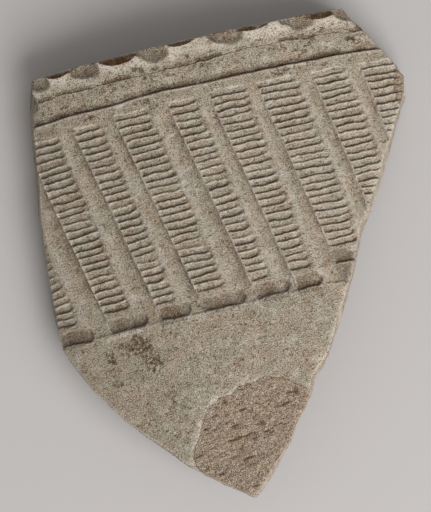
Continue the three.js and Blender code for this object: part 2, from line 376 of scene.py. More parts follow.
@dataclass(frozen=True)
class TurnedBand:
    """The convex band under the lip, and the groove that was turned below it."""

    groove_height: float = 41.2
    groove_drop: float = 0.08
    groove_depth: float = 0.7
    groove_mouth: float = 0.2
    groove_force: Lumps = Lumps(9.0, 23, height=0.2, level=1.0)
    groove_wander: Lumps = Lumps(5.2, 21)
    groove_tremor: Lumps = Lumps(1.3, 22, height=0.05)
    steady_wander: float = 0.1
    shaky_wander: float = 0.26
    shaky_stretch: tuple[float, float] = (2.0, -12.0)
    height: float = 4.9
    swelling_share: float = 0.73
    seat_inset: float = 1.2
    seat_depth: float = 2.6
    seat_step: float = 0.01
    seam_wander: Lumps = Lumps(4.6, 24, height=0.5, level=-0.15)
    seam_tremor: Lumps = Lumps(1.2, 25, height=0.16)
    seam_reach: float = 2.2
    burr: Line = Line(-0.42, 0.2, 0.14)
    burr_force: Lumps = Lumps(1.7, 26, height=0.5, level=1.0)
    burr_highlight: Line = Line(-0.4, 0.17)
    burr_patches: Lumps = Lumps(2.2, 29, height=0.4, level=0.75)
    groove_shade: Line = Line(0.06, 0.16)
    groove_patches: Lumps = Lumps(0.9, 30, height=0.35, level=0.9)
    foot_shade: Line = Line(0.5, 0.6, 0.7)
    foot_patches: Lumps = Lumps(3.1, 27, height=0.5, level=0.6)
    crack_dirt: Line = Line(0.0, 0.12, 0.8)
    crack_runs: Spots = Spots(2.6, 28, -0.35, 0.1)
    pit_clusters: Spots = Spots((5.5, 3.0), 43, -0.15, 0.35)
    pits: Spots = Spots((0.85, 0.6), 44, 0.25, 0.6)
    pit_margin: float = 0.4
    pit_depth: float = 0.14

    @property
    def seam_height(self) -> float:
        """Where the band ends and the lip was luted on."""
        return self.groove_height + self.height

    def groove_line(self, around: np.ndarray) -> np.ndarray:
        """Height of the groove's deepest line, which wanders more at the left, where the hand shook.

        Args:
            around: Places along the rim.

        Returns:
            The line's height at each.
        """
        wander = self.steady_wander + self.shaky_wander * eased(around, *self.shaky_stretch)
        wander = wander * self.groove_wander.at(around) + self.groove_tremor.at(around)
        return self.groove_height - self.groove_drop + wander

    def seam_shift(self, around: np.ndarray, up: np.ndarray) -> np.ndarray:
        """How far up the seam's wandering line carries the clay near it, in the wall and the lip alike."""
        wander = self.seam_wander.at(around) + self.seam_tremor.at(around)
        return wander * (1 - eased(np.abs(up - self.seam_height), 0, self.seam_reach))

    def relief(self, around: np.ndarray, up: np.ndarray, rim: float) -> np.ndarray:
        """The band's swelling, the groove and its burr, and the seat that the lip covers.

        Args:
            around: Places along the rim.
            up: Heights on the wall.
            rim: Height of the rim.

        Returns:
            How far the surface stands out, below zero where it is cut in.
        """
        above = up - self.groove_line(around)
        swell = passed(above, self.swelling_share * self.height, 0) ** 2
        cut = np.where(above > 0, swell, 1 - eased(-above, 0, self.groove_mouth))
        shape = -self.groove_depth * self.groove_force.at(around) * cut
        shape += self.burr.on(above) * self.burr_force.at(around)
        seat_share = (up - self.seam_height) / (rim - self.seam_height)
        seat = -self.seat_inset - (self.seat_depth - self.seat_inset) * seat_share
        return np.where(up > self.seam_height + self.seat_step / 2, seat, shape)

    def dirt_and_shade(self, around: np.ndarray, up: np.ndarray) -> np.ndarray:
        """Painted shade in the groove and up the foot of the band, and dirt in the crack below the lip.

        Args:
            around: Places along the rim.
            up: Heights on the wall.

        Returns:
            How much dirt and painted shade lies at each place.
        """
        above = up - self.groove_line(around)
        # Painted shade along the groove and up the band's foot above it; the crack's dark below the lip is
        # dirt.
        line = self.groove_shade.on(above) * self.groove_patches.at(around)
        foot = self.foot_shade.on(above) * self.foot_patches.at(around) * (above > 0)
        return line + foot + self.crack_dirt.on(up - self.seam_height) * self.crack_runs.at(around)

    def pale(self, around: np.ndarray, up: np.ndarray) -> np.ndarray:
        """The painted highlight on the burr below the groove."""
        return self.burr_highlight.on(up - self.groove_line(around)) * self.burr_patches.at(around)

    def pitted(self, flat: np.ndarray) -> np.ndarray:
        """1 in the clusters of small pits above the groove, in the band and the lip alike."""
        above = flat[:, 1] > self.groove_height + self.pit_margin
        return self.pit_clusters.at(flat) * above * self.pits.at(flat)


@dataclass(frozen=True)
class ClosingScoop:
    """The broad oblong scoop that closes a column, with a steep left wall and a thick foot, darkened with
    painted shade and edged with painted highlights.
    """

    height: float = 3.5
    depth: float = 0.72
    overhang: float = 0.5
    left_rounding: float = 0.3
    low_rounding: float = 1.2
    high_rounding: float = 0.9
    low_shares: tuple[float, float] = (0.45, 1.0)
    high_shares: tuple[float, float] = (0.4, 0.0)
    left_wall: float = 0.28
    right_wall: float = 0.4
    entry_shares: tuple[float, float] = (0.0, 0.2)
    floor_shares: tuple[float, float] = (0.2, 0.8)
    foot_shares: tuple[float, float] = (0.92, 1.02)
    entry_depth_share: float = 0.8
    wander: Lumps = Lumps((2.4, 9.0), 100, height=0.07)
    tremor: Lumps = Lumps((0.8, 1.2), 111, height=0.03)
    entry_shade: float = 0.3
    floor_shade: float = 0.1
    foot_shade: Line = Line(0.95, 0.06, 0.8)
    foot_patches: Lumps = Lumps((1.6, 9.0), 121, height=0.45, level=0.75)
    right_wall_shade: Line = Line(-0.2, 0.25, 0.5)
    right_wall_shade_run: Line = Line(0.7, 0.35)
    foot_highlight: Line = Line(1.06, 0.06, 0.8)
    foot_highlight_start: float = 0.6
    foot_highlight_overrun: float = 0.5
    left_wall_highlight: Line = Line(0.0, 0.2, 0.8)
    left_wall_highlight_run: Line = Line(0.5, 0.4)
    top_edge_highlight: Line = Line(0.04, 0.06, 0.6)

    def cut(self, flat: np.ndarray, along: np.ndarray, top: float, width: float, which: int) -> Mark:
        """Cut one scoop.

        Args:
            flat: Places around and up, near the field's foot.
            along: Distance from the column's left edge.
            top: Height of the scoop's upper edge.
            width: Width of the scoop.
            which: Which scoop.

        Returns:
            What it leaves on the clay, with painted shade and highlights.
        """
        down = (top - flat[:, 1]) / self.height + self.wander.at(flat, which) + self.tremor.at(flat)
        low, high = passed(down, *self.low_shares) ** 2, passed(down, *self.high_shares) ** 2
        left = self.left_rounding * (low + high) - self.overhang
        right = width - self.low_rounding * low - self.high_rounding * high
        outline = eased(along, left, left + self.left_wall) * eased(along, right, right - self.right_wall)
        outline = outline * (down > 0)
        floor = eased(down, *self.floor_shares)
        section = self.entry_depth_share + (1 - self.entry_depth_share) * floor
        section = section * eased(down, *self.entry_shares) * (1 - eased(down, *self.foot_shares))

        # Painted shade: the whole scoop darker, most at its foot and along its right wall, which the low lamp
        # leaves in shade.
        dirt_and_shade = self.entry_shade + self.floor_shade * floor
        dirt_and_shade += self.foot_patches.at(flat) * self.foot_shade.on(down)
        dirt_and_shade = np.maximum(dirt_and_shade * outline, self.right_wall_shade.on(along - right) * self.right_wall_shade_run.on(down))
        # Painted highlights on the crest below the foot, on the left wall and on the upper edge, which face
        # the lamp.
        foot = self.foot_highlight.on(down) * eased(along, left, left + self.foot_highlight_start)
        foot = foot * (along < right + self.foot_highlight_overrun)
        side = self.left_wall_highlight.on(along - left) * self.left_wall_highlight_run.on(down)
        top_edge = self.top_edge_highlight.on(down) * (along > left) * (along < right)
        return Mark(-self.depth * section * outline, dirt_and_shade, np.max([foot, side, top_edge], axis=0))


class Ladder(NamedTuple):
    """How one column of strokes strays from even rungs, by crest and by stroke."""

    crests: np.ndarray
    shifts: np.ndarray
    extra_lengths: np.ndarray
    forces: np.ndarray
    doubled: np.ndarray


@dataclass(frozen=True)
class CombedField:
    """The sunk field of leaning columns, each a ladder of short strokes that a scoop closes."""

    top: float = 38.1
    bottom: float = -8.1
    clear_top: float = 1.4
    span: float = 100.0
    sink: float = 0.3
    pitch: float = 1.63
    stroke_depth: float = 0.54
    rows: int = 26
    lean_degrees: float = 12.2
    first_edge_share: float = 0.489
    start_shares: tuple[float, ...] = (
        -0.72, -0.582, -0.439, -0.318, -0.221, -0.099, -0.008, 0.098, 0.22, 0.331, 0.46
    )
    width_shares: tuple[float, ...] = (0.09, 0.09, 0.082, 0.066, 0.08, 0.063, 0.081, 0.09, 0.078, 0.088, 0.08)
    narrowing_shares: tuple[float, ...] = (0.2, 0.16, 0.24, 0.3, 0.2, 0.28, 0.36, 0.2, 0.08, 0, 0)
    phase_shares: tuple[float, ...] = (0, 0.3, 0.9, 0.5, 0.1, 0.2, 0, 0.1, 0.2, 0.25, 0)
    end_width_shares: tuple[float, ...] = (0.1, 0.1, 0.092, 0.072, 0.1, 0.08, 0.062, 0.08, 0.06, 0.06, 0.06)
    end_rise_shares: tuple[float, ...] = (0, -0.1, 0.0, 0.06, -0.04, 0.02, 0, 1.1, 1.1, 0, 0)
    section_shares: tuple[float, ...] = (0, 0.05, 0.13, 0.3, 0.55, 0.76, 0.86, 0.92, 0.97, 1)
    section_depth_shares: tuple[float, ...] = (0, 0.16, 0.4, 0.66, 0.88, 1, 0.96, 0.5, 0.06, 0)
    scoop: ClosingScoop = ClosingScoop()
    scoop_reach_share: float = 2.4

    hand_seed: int = 70
    wobble: float = 0.16
    extra_wobble: float = 0.48
    force_spread: float = 0.4
    doubled_share: float = 0.16
    faint_row_shares: tuple[float, ...] = (0.42, 0.74)
    faint_depth_share: float = 0.42
    row_wander: Lumps = Lumps((3.1, 1.9), 40, height=0.13)
    row_tremor: Lumps = Lumps((0.9, 1.0), 60, height=0.065)
    lively: Lumps = Lumps((1.3, 0.9), 80, height=0.24, level=1.0)
    left_end: float = 0.36
    right_end: float = 0.45
    low_rounding: float = 1.15
    high_rounding: float = 0.45
    rounding_share: float = 0.4
    second_cut: Line = Line(0.5, 0.06, 0.14)
    stroke_shade: Line = Line(0.91, 0.07, 1.1)
    slope_shade: float = 0.3
    slope_shade_shares: tuple[float, float] = (0.5, 0.92)
    crest_highlights: tuple[Line, ...] = (Line(0.05, 0.09, 0.95), Line(1.02, 0.05, 0.95))

    flute_depth: float = 0.32
    flute_rise: float = 0.2
    flute_fall_shares: tuple[float, float] = (0.08, 0.9)
    flute_climb_shares: tuple[float, float] = (0.93, 1.0)
    flute_fade: tuple[float, float] = (-4.5, 0.9)
    flute_shade: Lumps = Lumps((2.5, 4.0), 34, height=0.2, level=0.22)
    flute_shade_shares: tuple[float, float] = (0.5, 0.97)
    flute_highlight: Line = Line(0.18, 0.2, 0.45)
    edge_sway: tuple[Lumps, ...] = (Lumps((9.0, 2.6), 35, height=0.1), Lumps((9.0, 0.9), 36, height=0.06))
    burr: Line = Line(0.0, 0.22, 0.36)
    burr_highlight: Line = Line(0.0, 0.24, 1.2)
    burr_breaks: Lumps = Lumps((1.1, 1.4), 33, height=0.45, level=0.75)
    burr_fade: float = 1.2

    foot_wander: Lumps = Lumps(2.6, 31, height=0.16)
    step_share: float = 0.38
    step_rise: tuple[float, float] = (-0.1, 0.3)
    ramp_rise: tuple[float, float] = (-0.4, 4.0)
    foot_patches: Lumps = Lumps(3.3, 32, height=0.5, level=0.6)
    foot_shade: Line = Line(0.1, 0.15, 0.35)
    foot_highlight: Line = Line(-0.4, 0.25, 0.6)
    crumbled_run: Line = Line(-30.6, 4.5, 1.5)
    crumbled_rim: Line = Line(-0.5, 0.5)
    crumbs: Lumps = Lumps((1.2, 0.6), 37, height=0.5, level=0.9)
    crumb_height: float = 0.12

    def edges(self, up: np.ndarray) -> tuple[np.ndarray, np.ndarray]:
        """Where the columns stand.

        Args:
            up: Heights on the wall.

        Returns:
            Left edge and width of every column at each height, one column of numbers for each.
        """
        below = (self.top - up)[:, None]
        start = np.array(self.start_shares) * self.span + below * math.tan(math.radians(self.lean_degrees))
        narrowing = 1 - np.array(self.narrowing_shares) * passed(below, 0, self.top - self.bottom)
        return start, np.array(self.width_shares) * self.span * narrowing

    def relief(self, around: np.ndarray, up: np.ndarray) -> Mark:
        """Comb the whole field.

        Args:
            around: Places along the rim.
            up: Heights on the wall.

        Returns:
            What the comb and the fingers leave on the clay, with painted shade and highlights.
        """
        flat = np.column_stack([around, up])
        start, width = self.edges(up)
        column = np.clip((around[:, None] >= start).sum(axis=1) - 1, 0, len(self.start_shares) - 2)
        pick = np.arange(len(around))
        along = around - start[pick, column]
        own_width = width[pick, column]
        gap = start[pick, column + 1] - start[pick, column] - own_width
        across = passed(along, own_width, own_width + gap)

        flutes = self.flutes(flat, across, start[pick, column + 1] - around, along)
        surface, dirt_and_shade, pale = self.footed(flat, flutes)
        for number in range(len(self.start_shares)):
            mine = column == number
            if mine.any():
                mark = self.strokes(number, flat[mine], along[mine], own_width[mine])
                surface[mine] += mark.relief
                dirt_and_shade[mine] = np.maximum(dirt_and_shade[mine], mark.dirt_and_shade)
                pale[mine] = np.maximum(pale[mine], mark.pale)
        low = up < self.bottom + self.scoop_reach_share * self.scoop.height
        for number, (rise_share, width_share) in enumerate(zip(self.end_rise_shares, self.end_width_shares)):
            top = self.bottom + self.scoop.height * (1 + rise_share)
            from_left = (around - start[:, number])[low]
            mark = self.scoop.cut(flat[low], from_left, top, width_share * self.span, number)
            flattened = np.where(mark.relief < 0, np.minimum(surface[low], 0), surface[low])
            surface[low] = flattened + mark.relief
            dirt_and_shade[low] = np.maximum(dirt_and_shade[low], mark.dirt_and_shade)
            pale[low] = np.maximum(pale[low], mark.pale)

        inside = up < self.top + self.clear_top
        return Mark(surface * inside, dirt_and_shade * inside, pale * inside)

    def flutes(self, flat: np.ndarray, across: np.ndarray, to_next: np.ndarray, along: np.ndarray) -> Mark:
        """The smooth bands between columns: high beside the strokes, deepest under the next burr.

        Args:
            flat: Places around and up.
            across: Share of the way from a column's right ends to the next column's burr.
            to_next: Distance to the next column's left edge.
            along: Distance from the column's own left edge.

        Returns:
            What they leave on the clay, with painted shade and highlights.
        """
        up = flat[:, 1]
        fade_start, fade_end = self.flute_fade
        open_top = 1 - eased(up, self.top + fade_start, self.top + fade_end)
        fall = eased(across, *self.flute_fall_shares)
        profile = self.flute_rise * (1 - fall)
        profile -= self.flute_depth * fall * (1 - eased(across, *self.flute_climb_shares))
        sway = heaped(self.edge_sway, flat)
        own_edge = np.minimum(np.abs(to_next + sway), np.abs(along - sway))
        broken = self.burr_breaks.at(flat)
        burr = self.burr.on(own_edge) * broken * eased(up, self.top, self.top - self.burr_fade)
        # Painted shade in the flute's deep right side under the next burr, and painted highlights on the burr
        # and on the flute's left side, which face the lamp.
        dirt_and_shade = eased(across, *self.flute_shade_shares) * open_top * self.flute_shade.at(flat)
        pale = self.burr_highlight.on(own_edge) * broken + self.flute_highlight.on(across) * (across > 0)
        return Mark((profile - self.sink) * open_top + burr, dirt_and_shade, pale * open_top)

    def footed(self, flat: np.ndarray, flutes: Mark) -> Mark:
        """End the flutes at the field's foot: a small step and a long ramp, with a crumbled rim at the left.

        Args:
            flat: Places around and up.
            flutes: What the flutes leave on the clay.

        Returns:
            The same, ended at the foot.
        """
        around, up = flat.T
        above = up - self.bottom - self.foot_wander.at(around)
        kept = self.step_share * eased(above, *self.step_rise)
        kept += (1 - self.step_share) * eased(above, *self.ramp_rise)
        patches = self.foot_patches.at(around)
        crumbled = self.crumbled_run.on(around) * self.crumbled_rim.on(above) * self.crumbs.at(flat)
        surface = flutes.relief * kept + self.crumb_height * crumbled
        # Painted shade along the foot's step and a painted highlight on the crest below it; the crumbled rim
        # is paler clay.
        dirt_and_shade = np.maximum(flutes.dirt_and_shade * kept, self.foot_shade.on(above) * patches)
        pale = np.max([flutes.pale * kept, self.foot_highlight.on(above) * patches, crumbled], axis=0)
        return Mark(surface, dirt_and_shade, pale)

    def ladder(self, number: int) -> Ladder:
        """Chance strays of one column's strokes, with the two rows where the hand lifted.

        Args:
            number: Which column.

        Returns:
            The column's own ladder.
        """
        hand = np.random.default_rng(self.hand_seed + number)
        count = self.rows + 2
        crests = np.arange(count) + hand.uniform(-0.5, 0.5, count) * self.wobble
        shifts = hand.uniform(-1, 1, count) * self.wobble
        extra_lengths = hand.uniform(-1, 1, count) * self.extra_wobble
        forces = 1 + hand.uniform(-self.force_spread, self.force_spread, count)
        doubled = hand.uniform(0, 1, count) < self.doubled_share
        for share in self.faint_row_shares:
            forces[round(share * self.rows)] *= self.faint_depth_share
        return Ladder(crests, shifts, extra_lengths, forces, doubled)

    def pocket(self, along: np.ndarray, length: np.ndarray, share: np.ndarray) -> np.ndarray:
        """Outline of a stroke seen from outside: square at its left end and round at its right.

        Args:
            along: Distance from the left end.
            length: Length of the stroke.
            share: Share of the way from its upper to its lower crest.

        Returns:
            1 inside the stroke, falling to 0 at its ends.
        """
        lower, upper = passed(share, self.rounding_share, 1), passed(share, self.rounding_share, 0)
        end = length - self.low_rounding * lower**2 - self.high_rounding * upper**2
        return eased(along, 0, self.left_end) * eased(end - along, 0, self.right_end)

    def strokes(self, number: int, flat: np.ndarray, along: np.ndarray, width: np.ndarray) -> Mark:
        """Cut the ladder of strokes in one column.

        Args:
            number: Which column.
            flat: Places around and up, of this column's own stretch.
            along: Distance from the column's left edge.
            width: The column's width at each place.

        Returns:
            What they leave on the clay, with painted shade and highlights.
        """
        ladder = self.ladder(number)
        phase = self.phase_shares[number]
        lowest = self.bottom + self.scoop.height * (1 + self.end_rise_shares[number]) + self.pitch / 2
        last = math.floor((self.top - lowest) / self.pitch - phase)
        down = (self.top - flat[:, 1]) / self.pitch - phase + self.first_edge_share
        down += self.row_wander.at(flat, number) + self.row_tremor.at(flat, number)
        row = np.clip(np.searchsorted(ladder.crests, down) - 1, 0, self.rows)
        share = (down - ladder.crests[row]) / (ladder.crests[row + 1] - ladder.crests[row])
        outline = self.pocket(along - ladder.shifts[row], width + ladder.extra_lengths[row], share)
        outline = outline * ((down > ladder.crests[0]) & (row <= last))
        section = np.interp(np.clip(share, 0, 1), self.section_shares, self.section_depth_shares)
        force = ladder.forces[row]
        depth = self.stroke_depth * force * section * outline * self.lively.at(flat, number)
        depth -= self.second_cut.on(share) * outline * ladder.doubled[row]

        # Painted shade on each stroke's deep lower wall and the slope before it, and painted highlights on
        # the crests that face the lamp.
        dirt_and_shade = np.maximum(
            self.stroke_shade.on(share) * np.minimum(force, 1),
            self.slope_shade * eased(share, *self.slope_shade_shares),
        )
        pale = np.max([line.on(share) for line in self.crest_highlights], axis=0)
        return Mark(-depth, dirt_and_shade * outline, pale * outline)


@dataclass(frozen=True)
class LostFlake:
    """An oval dish where a flake sprang off and bared the coarse core. The large one is near the point."""

    around: float = -5.0
    up: float = -42.3
    half_width: float = 17.6
    half_length: float = 17.6
    depth: float = 1.9
    edge_depth: float = 0.45
    edge_width: float = 0.8
    ragged: tuple[Lumps, ...] = (
        Lumps(5.5, 51, height=0.9), Lumps(1.8, 52, height=0.4), Lumps(0.8, 53, height=0.2),
    )
    streak_degrees: float = 7.0
    torn: tuple[Lumps, ...] = (
        Lumps((3.4, 0.9), 54, height=0.1), Lumps((1.3, 0.75), 55, height=0.14),
        Lumps((0.9, 0.5), 56, height=0.16),
    )
    torn_inset: tuple[float, float] = (0.2, 1.5)
    slits: Spots = Spots((3.2, 0.7), 57, 0.6, 0.85)
    slit_depth: float = 0.4
    shaded_slits: Spots = Spots((3.2, 0.7), 57, 0.6, 0.82)
    slit_shade: float = 0.8
    bare_inset: tuple[float, float] = (0.35, 0.95)
    lit_chipped_margin: Line = Line(-0.1, 0.8)
    lit_chipped_run: tuple[float, float] = (5.0, -6.0)
    chips: Lumps = Lumps(1.3, 58, height=0.5, level=0.45)

    @property
    def top(self) -> float:
        """Height of the flake's upper edge."""
        return self.up + self.half_length

    def inset(self, flat: np.ndarray) -> np.ndarray:
        """How far inside the flake's ragged edge each place lies."""
        away = from_oval(flat, (self.around, self.up), (self.half_width, self.half_length))
        return (1 - away) * self.half_length + heaped(self.ragged, flat)

    def streaked(self, flat: np.ndarray) -> np.ndarray:
        """Turn places to run with the torn clay's streaks.

        Args:
            flat: Places around and up.

        Returns:
            Places along and across the streaks.
        """
        turn = math.radians(self.streak_degrees)
        along = flat[:, 0] * math.cos(turn) + flat[:, 1] * math.sin(turn)
        across = flat[:, 1] * math.cos(turn) - flat[:, 0] * math.sin(turn)
        return np.column_stack([along, across])

    def relief(self, flat: np.ndarray) -> np.ndarray:
        """The dish, with the long streaks and slits of the torn clay.

        Args:
            flat: Places around and up.

        Returns:
            How far the surface stands out, below zero in the dish.
        """
        inset = self.inset(flat)
        bowl = (self.depth - self.edge_depth) * (1 - (1 - passed(inset, 0, self.half_length)) ** 2)
        step = self.edge_depth * eased(inset, 0, self.edge_width)
        torn = self.streaked(flat)
        rough = heaped(self.torn, torn) - self.slit_depth * self.slits.at(torn)
        return -(bowl + step) + rough * eased(inset, *self.torn_inset)

    def dirt_and_shade(self, flat: np.ndarray) -> np.ndarray:
        """Painted shade in the torn clay's slits."""
        return self.slit_shade * self.shaded_slits.at(self.streaked(flat))

    def bared(self, flat: np.ndarray) -> np.ndarray:
        """1 where the core shows."""
        return eased(self.inset(flat), *self.bare_inset)

    def lit_chipped(self, flat: np.ndarray) -> np.ndarray:
        """How pale the chipped margin is, most at the left, where it is a painted highlight on the dish's
        wall facing the lamp.

        Args:
            flat: Places around and up.

        Returns:
            One value for each place.
        """
        start, end = self.lit_chipped_run
        rubbed_and_lit = eased(flat[:, 0], self.around + start, self.around + end)
        return rubbed_and_lit * self.lit_chipped_margin.on(self.inset(flat)) * self.chips.at(flat)


@dataclass(frozen=True)
class Stain:
    """A dark mark on the surface, as an oval with a ragged edge."""

    around: float
    up: float
    half_width: float
    half_height: float
    strength: float = 1.0
    ragged: tuple[Lumps, ...] = (Lumps(1.6, 91, height=0.4), Lumps(0.7, 92, height=0.3))
    spread: float = 1.1
    softness: float = 0.85

    def share(self, flat: np.ndarray) -> np.ndarray:
        """How dark each place is."""
        away = from_oval(flat, (self.around, self.up), (self.half_width, self.half_height))
        return self.strength * eased(self.spread - away + heaped(self.ragged, flat), 0.0, self.softness)


STAINS = (
    Stain(-35.5, -13.4, 1.3, 2.2),
    Stain(-33.1, -11.2, 1.5, 1.0, 0.8),
    Stain(-29.4, -12.0, 4.0, 2.6),
    Stain(-26.4, -15.2, 3.0, 4.4),
    Stain(-35.6, -18.6, 1.8, 1.4, 0.6),
    Stain(-24.0, -24.0, 1.6, 7.5, 0.5),
    Stain(-17.0, -17.0, 1.1, 1.1, 0.8),
    Stain(33.4, 43.5, 2.6, 1.7, 0.9),
    Stain(15.2, 39.9, 3.0, 1.0, 0.9),
    Stain(25.4, 39.9, 1.2, 0.8, 0.8),
    Stain(19.8, 39.7, 0.8, 0.6, 0.7),
    Stain(-26.8, 39.7, 2.3, 1.3, 0.9),
    Stain(-15.6, 40.0, 4.6, 0.9, 0.7),
    Stain(-22.6, 42.3, 0.6, 0.7, 0.9),
    Stain(-13.8, 44.3, 1.5, 1.4, 0.6),
    Stain(-8.2, 44.4, 1.4, 0.8, 0.5),
    Stain(6.6, 43.8, 1.1, 0.8, 0.7),
    Stain(0.8, 46.8, 2.2, 0.9, 0.6),
    Stain(-18.5, 46.6, 6.5, 0.9, 0.5),
    Stain(16.5, 45.0, 4.5, 0.8, 0.4),
    Stain(14.0, 30.5, 5.5, 6.5, 0.28),
    Stain(-33.0, 9.0, 4.5, 11.0, 0.22),
    Stain(-28.5, -3.5, 6.0, 3.5, 0.28),
)


def stained(flat: np.ndarray) -> np.ndarray:
    """How dark the darkest stain on each place is."""
    return np.max([stain.share(flat) for stain in STAINS], axis=0)


def dressed(piece: bpy.types.Object, tints: dict[Tint, np.ndarray]) -> None:
    """Write the clay's tints on a mesh as attributes of its points.

    Args:
        piece: The object whose mesh is tinted.
        tints: One value for each point, for each tint.
    """
    for tint, values in tints.items():
        attribute = piece.data.attributes.new(tint.value, "FLOAT", "POINT")
        attribute.data.foreach_set("value", np.clip(values, 0, 1).astype(np.float32))


def points_of(piece: bpy.types.Object) -> np.ndarray:
    """Read a mesh's points.

    Args:
        piece: The object that has the mesh.

    Returns:
        The points in millimetres, one row each.
    """
    flat = np.zeros(len(piece.data.vertices) * 3)
    piece.data.vertices.foreach_get("co", flat)
    return flat.reshape(-1, 3) / MM


def move_points(piece: bpy.types.Object, points: np.ndarray) -> None:
    """Put the points of a mesh at new places, given in millimetres."""
    piece.data.vertices.foreach_set("co", (points * MM).ravel())
    piece.data.update()


def select_only(piece: bpy.types.Object) -> None:
    """Select one object and make it the active one.

    Args:
        piece: The object.
    """
    bpy.ops.object.select_all(action="DESELECT")
    piece.select_set(True)
    bpy.context.view_layer.objects.active = piece


def select_open_edges(piece: bpy.types.Object) -> None:
    """Go into edit mode with the edges selected that have a face on one side alone.

    Args:
        piece: The object whose mesh is edited.
    """
    select_only(piece)
    bpy.ops.object.mode_set(mode="EDIT")
    bpy.ops.mesh.select_mode(type="EDGE")
    bpy.ops.mesh.select_all(action="DESELECT")
    bpy.ops.mesh.select_non_manifold(extend=False)


def finish_mesh(piece: bpy.types.Object, smooth_degrees: float) -> None:
    """Merge doubles, face the mesh outwards, split its many-sided faces and smooth its gentle edges.

    Args:
        piece: The object whose mesh is finished.
        smooth_degrees: The sharpest edge that still looks smooth.
    """
    select_only(piece)
    bpy.ops.object.mode_set(mode="EDIT")
    bpy.ops.mesh.select_all(action="SELECT")
    bpy.ops.mesh.remove_doubles(threshold=DOUBLES_REACH * MM)
    bpy.ops.mesh.normals_make_consistent(inside=False)
    bpy.ops.object.mode_set(mode="OBJECT")
    split = piece.modifiers.new("split", "TRIANGULATE")
    split.min_vertices = 5
    bpy.ops.object.modifier_apply(modifier=split.name)
    bpy.ops.object.shade_smooth_by_angle(angle=math.radians(smooth_degrees))


def report(piece: bpy.types.Object) -> None:
    """Log a piece's size in triangles and whether its mesh is closed.

    Args:
        piece: The finished piece.
    """
    piece.data.calc_loop_triangles()
    uses = np.zeros(len(piece.data.loops), dtype=np.int64)
    piece.data.loops.foreach_get("edge_index", uses)
    open_edges = int((np.bincount(uses, minlength=len(piece.data.edges)) != 2).sum())
    log.info("%s: %d triangles, %d open edges", piece.name, len(piece.data.loop_triangles), open_edges)


@dataclass(frozen=True)
class Skin:
    """The small hollows, grain and pits of the wall's outer skin."""

    grain: tuple[Lumps, ...] = (
        Lumps(8.5, 11, height=0.07), Lumps(2.4, 12, height=0.035), Lumps(0.9, 13, height=0.03),
        Lumps((0.95, 0.45), 15, height=0.035),
    )
    drop: float = 0.07
    pits: Spots = Spots(1.15, 14, 0.62, 0.9)
    pit_depth: float = 0.16

    def relief(self, flat: np.ndarray) -> np.ndarray:
        """How far the skin stands out."""
        return heaped(self.grain, flat) - self.drop - self.pit_depth * self.pits.at(flat)


